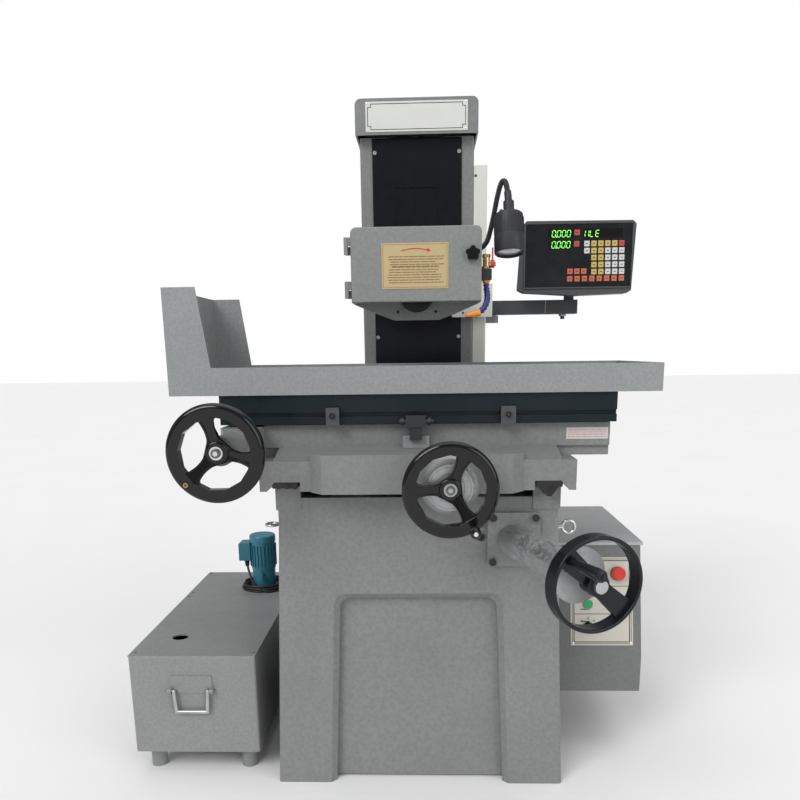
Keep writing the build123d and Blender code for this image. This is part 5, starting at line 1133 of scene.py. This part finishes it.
def add_readout():
    y = low("dro_console").y
    body = "dro_console"
    bezel = bmesh.new()
    left, right, bottom, top = 0.292, 0.577, 1.2185, 1.3805
    for lo, hi in (
        ((left - 0.004, bottom - 0.004), (right + 0.004, bottom)),
        ((left - 0.004, top), (right + 0.004, top + 0.004)),
        ((left - 0.004, bottom), (left, top)),
        ((right, bottom), (right + 0.004, top)),
    ):
        add_box(bezel, (lo[0], y - 0.0035, lo[1]), (hi[0], y + 0.001, hi[1]))
    finish_mesh(bezel, "readout_bezel", body, "dark_grey", 0.0012)
    add_plate(
        "readout_face", (left, bottom), (right, top), y, body, "black_satin", 0.0010, 0.0
    )
    face = y - 0.0010
    window = bmesh.new()
    for lo, hi in (
        ((0.352, 1.3455), (0.421, 1.3690)), ((0.352, 1.3170), (0.421, 1.3405)),
        ((0.443, 1.3440), (0.552, 1.3690))
    ):
        add_box(window, (lo[0], face - 0.0005, lo[1]), (hi[0], face, hi[1]))
    finish_mesh(window, "readout_windows", body, "black_gloss", 0.0003)
    digits = bmesh.new()
    lit_face = face - 0.0005
    for row in (1.3480, 1.3200):
        for i, x in enumerate((0.362, 0.3755, 0.3885, 0.4015)):
            add_digit(digits, x, row, lit_face, 0.0088, 0.0165, ZERO)
            if i == 0:
                add_box(digits, (0.3728, lit_face - 0.0004, row - 0.0012), (0.3748, lit_face, row + 0.0012))
    for x, lit in ((0.4500, "bcef"), (0.4630, "def"), (0.4780, "adefg")):
        add_digit(digits, x, 1.3475, lit_face, 0.0092, 0.0160, lit)
    finish_mesh(digits, "readout_digits", body, "digit_green", smooth=False)
    add_keys(body, face)


KEY_ROWS = ["WYYYYR", "WYYWWW", " YYWWW", " YYWWW", " YYWWW"]
KEY_LOOKS = {
    "W": ("key_white", "off_white"), "Y": ("key_yellow", "bronze"), "R": ("key_red", "red"),
    "O": ("key_orange", "red")
}


def add_keys(body, face):
    pitch_x, pitch_z, size = 0.0186, 0.0181, 0.0145
    spots = []
    for r, row in enumerate(KEY_ROWS):
        for c, key in enumerate(row):
            if key != " ":
                spots.append((0.4563 + c * pitch_x + r * 0.0008, 1.3300 - r * pitch_z, key))
    for c in range(3):
        spots.append((0.4135 + c * pitch_x, 1.2593, "O"))
    for c in range(8):
        spots.append((0.4135 + c * pitch_x * 1.07, 1.2400, "O"))
    for z in (1.3588, 1.3297):
        spots.append((0.4290, z, "R"))
    for kind, (look, slot) in KEY_LOOKS.items():
        bm = bmesh.new()
        for x, z, key in spots:
            if key == kind:
                add_box(bm, (x - size / 2, face - 0.0016, z - size / 2), (x + size / 2, face, z + size / 2))
        finish_mesh(bm, "readout_keys_" + kind, body, look, 0.0008)
    marks = bmesh.new()
    for x, z, key in spots:
        add_box(marks, (x - 0.0028, face - 0.0019, z - 0.0009), (x + 0.0028, face - 0.0016, z + 0.0009))
    finish_mesh(marks, "readout_key_marks", body, "ink", smooth=False)


def add_arm_details():
    lo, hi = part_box("dro_arm")
    bm = bmesh.new()
    seam = 0.361
    add_box(bm, (seam, lo.y - 0.0012, 1.1525), (hi.x - 0.001, lo.y + 0.0005, 1.1895))
    finish_mesh(bm, "arm_sleeve", "dro_arm", "dark_grey", 0.001)
    line = bmesh.new()
    add_box(line, (seam - 0.0016, lo.y - 0.0004, 1.1530), (seam, lo.y + 0.0004, 1.1893))
    finish_mesh(line, "arm_seam", "dro_arm", "key_white")
    bolt = bmesh.new()
    m = axes(Vector((0.412, 0.130, 1.1520)), -UP, FRONT)
    add_lathe(
        bolt, [(0, 0), (0.0105, 0), (0.0105, 0.006), (0.0060, 0.0065), (0.0055, 0.0138), (0, 0.0138)],
        m, 6
    )
    finish_mesh(bolt, "arm_bolt", "dro_arm", "turned_steel", 0.0005)


# ---- floor and light -------------------------------------------------------------------
def add_floor():
    mesh = bpy.data.meshes.new("floor")
    half = 30.0
    mesh.from_pydata(
        [(-half, -half, 0), (half, -half, 0), (half, half, 0), (-half, half, 0)], [], [(0, 1, 2, 3)]
    )
    floor = bpy.data.objects.new("floor", mesh)
    bpy.context.scene.collection.objects.link(floor)
    mat, shader = blank("floor_white")
    tone = blend_colour(mat, noise(mat, 1.5, 3.0), (0.86, 0.86, 0.86), (0.90, 0.90, 0.90))
    link(mat, tone, shader.inputs["Base Color"])
    shader.inputs["Roughness"].default_value = 0.8
    mesh.materials.append(mat)


def add_sun(name, place, target, strength, spread):
    """Wide soft light from one side; the spread is its angle in degrees."""
    data = bpy.data.lights.new(name, "SUN")
    data.energy = strength
    data.angle = math.radians(spread)
    light = bpy.data.objects.new(name, data)
    light.matrix_world = axes(Vector(place), Vector(place) - Vector(target), UP)
    bpy.context.scene.collection.objects.link(light)


WORLD_SEEN = 1.0
WORLD_LIGHT = 0.34


def add_world():
    """A white studio round the machine that lights it more gently than it looks."""
    world = bpy.data.worlds.new("studio")
    world.use_nodes = True
    tree = world.node_tree
    background = tree.nodes["Background"]
    background.inputs["Color"].default_value = (1, 1, 1, 1)
    path = tree.nodes.new("ShaderNodeLightPath")
    level = tree.nodes.new("ShaderNodeMapRange")
    level.inputs["To Min"].default_value = WORLD_LIGHT
    level.inputs["To Max"].default_value = WORLD_SEEN
    tree.links.new(path.outputs["Is Camera Ray"], level.inputs["Value"])
    tree.links.new(level.outputs["Result"], background.inputs["Strength"])
    bpy.context.scene.world = world


def add_lights():
    add_world()
    add_sun("key", (-2.2, -3.2, 3.9), (0, 0, 0.9), 1.6, 32)
    add_sun("fill", (2.8, -2.6, 2.4), (0, 0, 0.8), 0.9, 45)
    add_sun("top", (0.2, 0.5, 4.6), (0, 0, 0), 0.9, 60)
    bpy.context.scene.view_settings.view_transform = "Standard"


dress_nodes()
paint_tube_plate()
add_control_panel()
add_control_rings()
add_cabinet_top_glare()
add_base_plugs()
add_black_screws()
add_wheels()
add_door_label()
add_nameplate()
add_sticker()
add_wiper_and_v_cover()
add_dog_screws()
add_stop_nuts()
add_cover_details()
add_lamp()
add_hose()
add_valve_details()
add_readout()
add_arm_details()
add_floor()
add_lights()
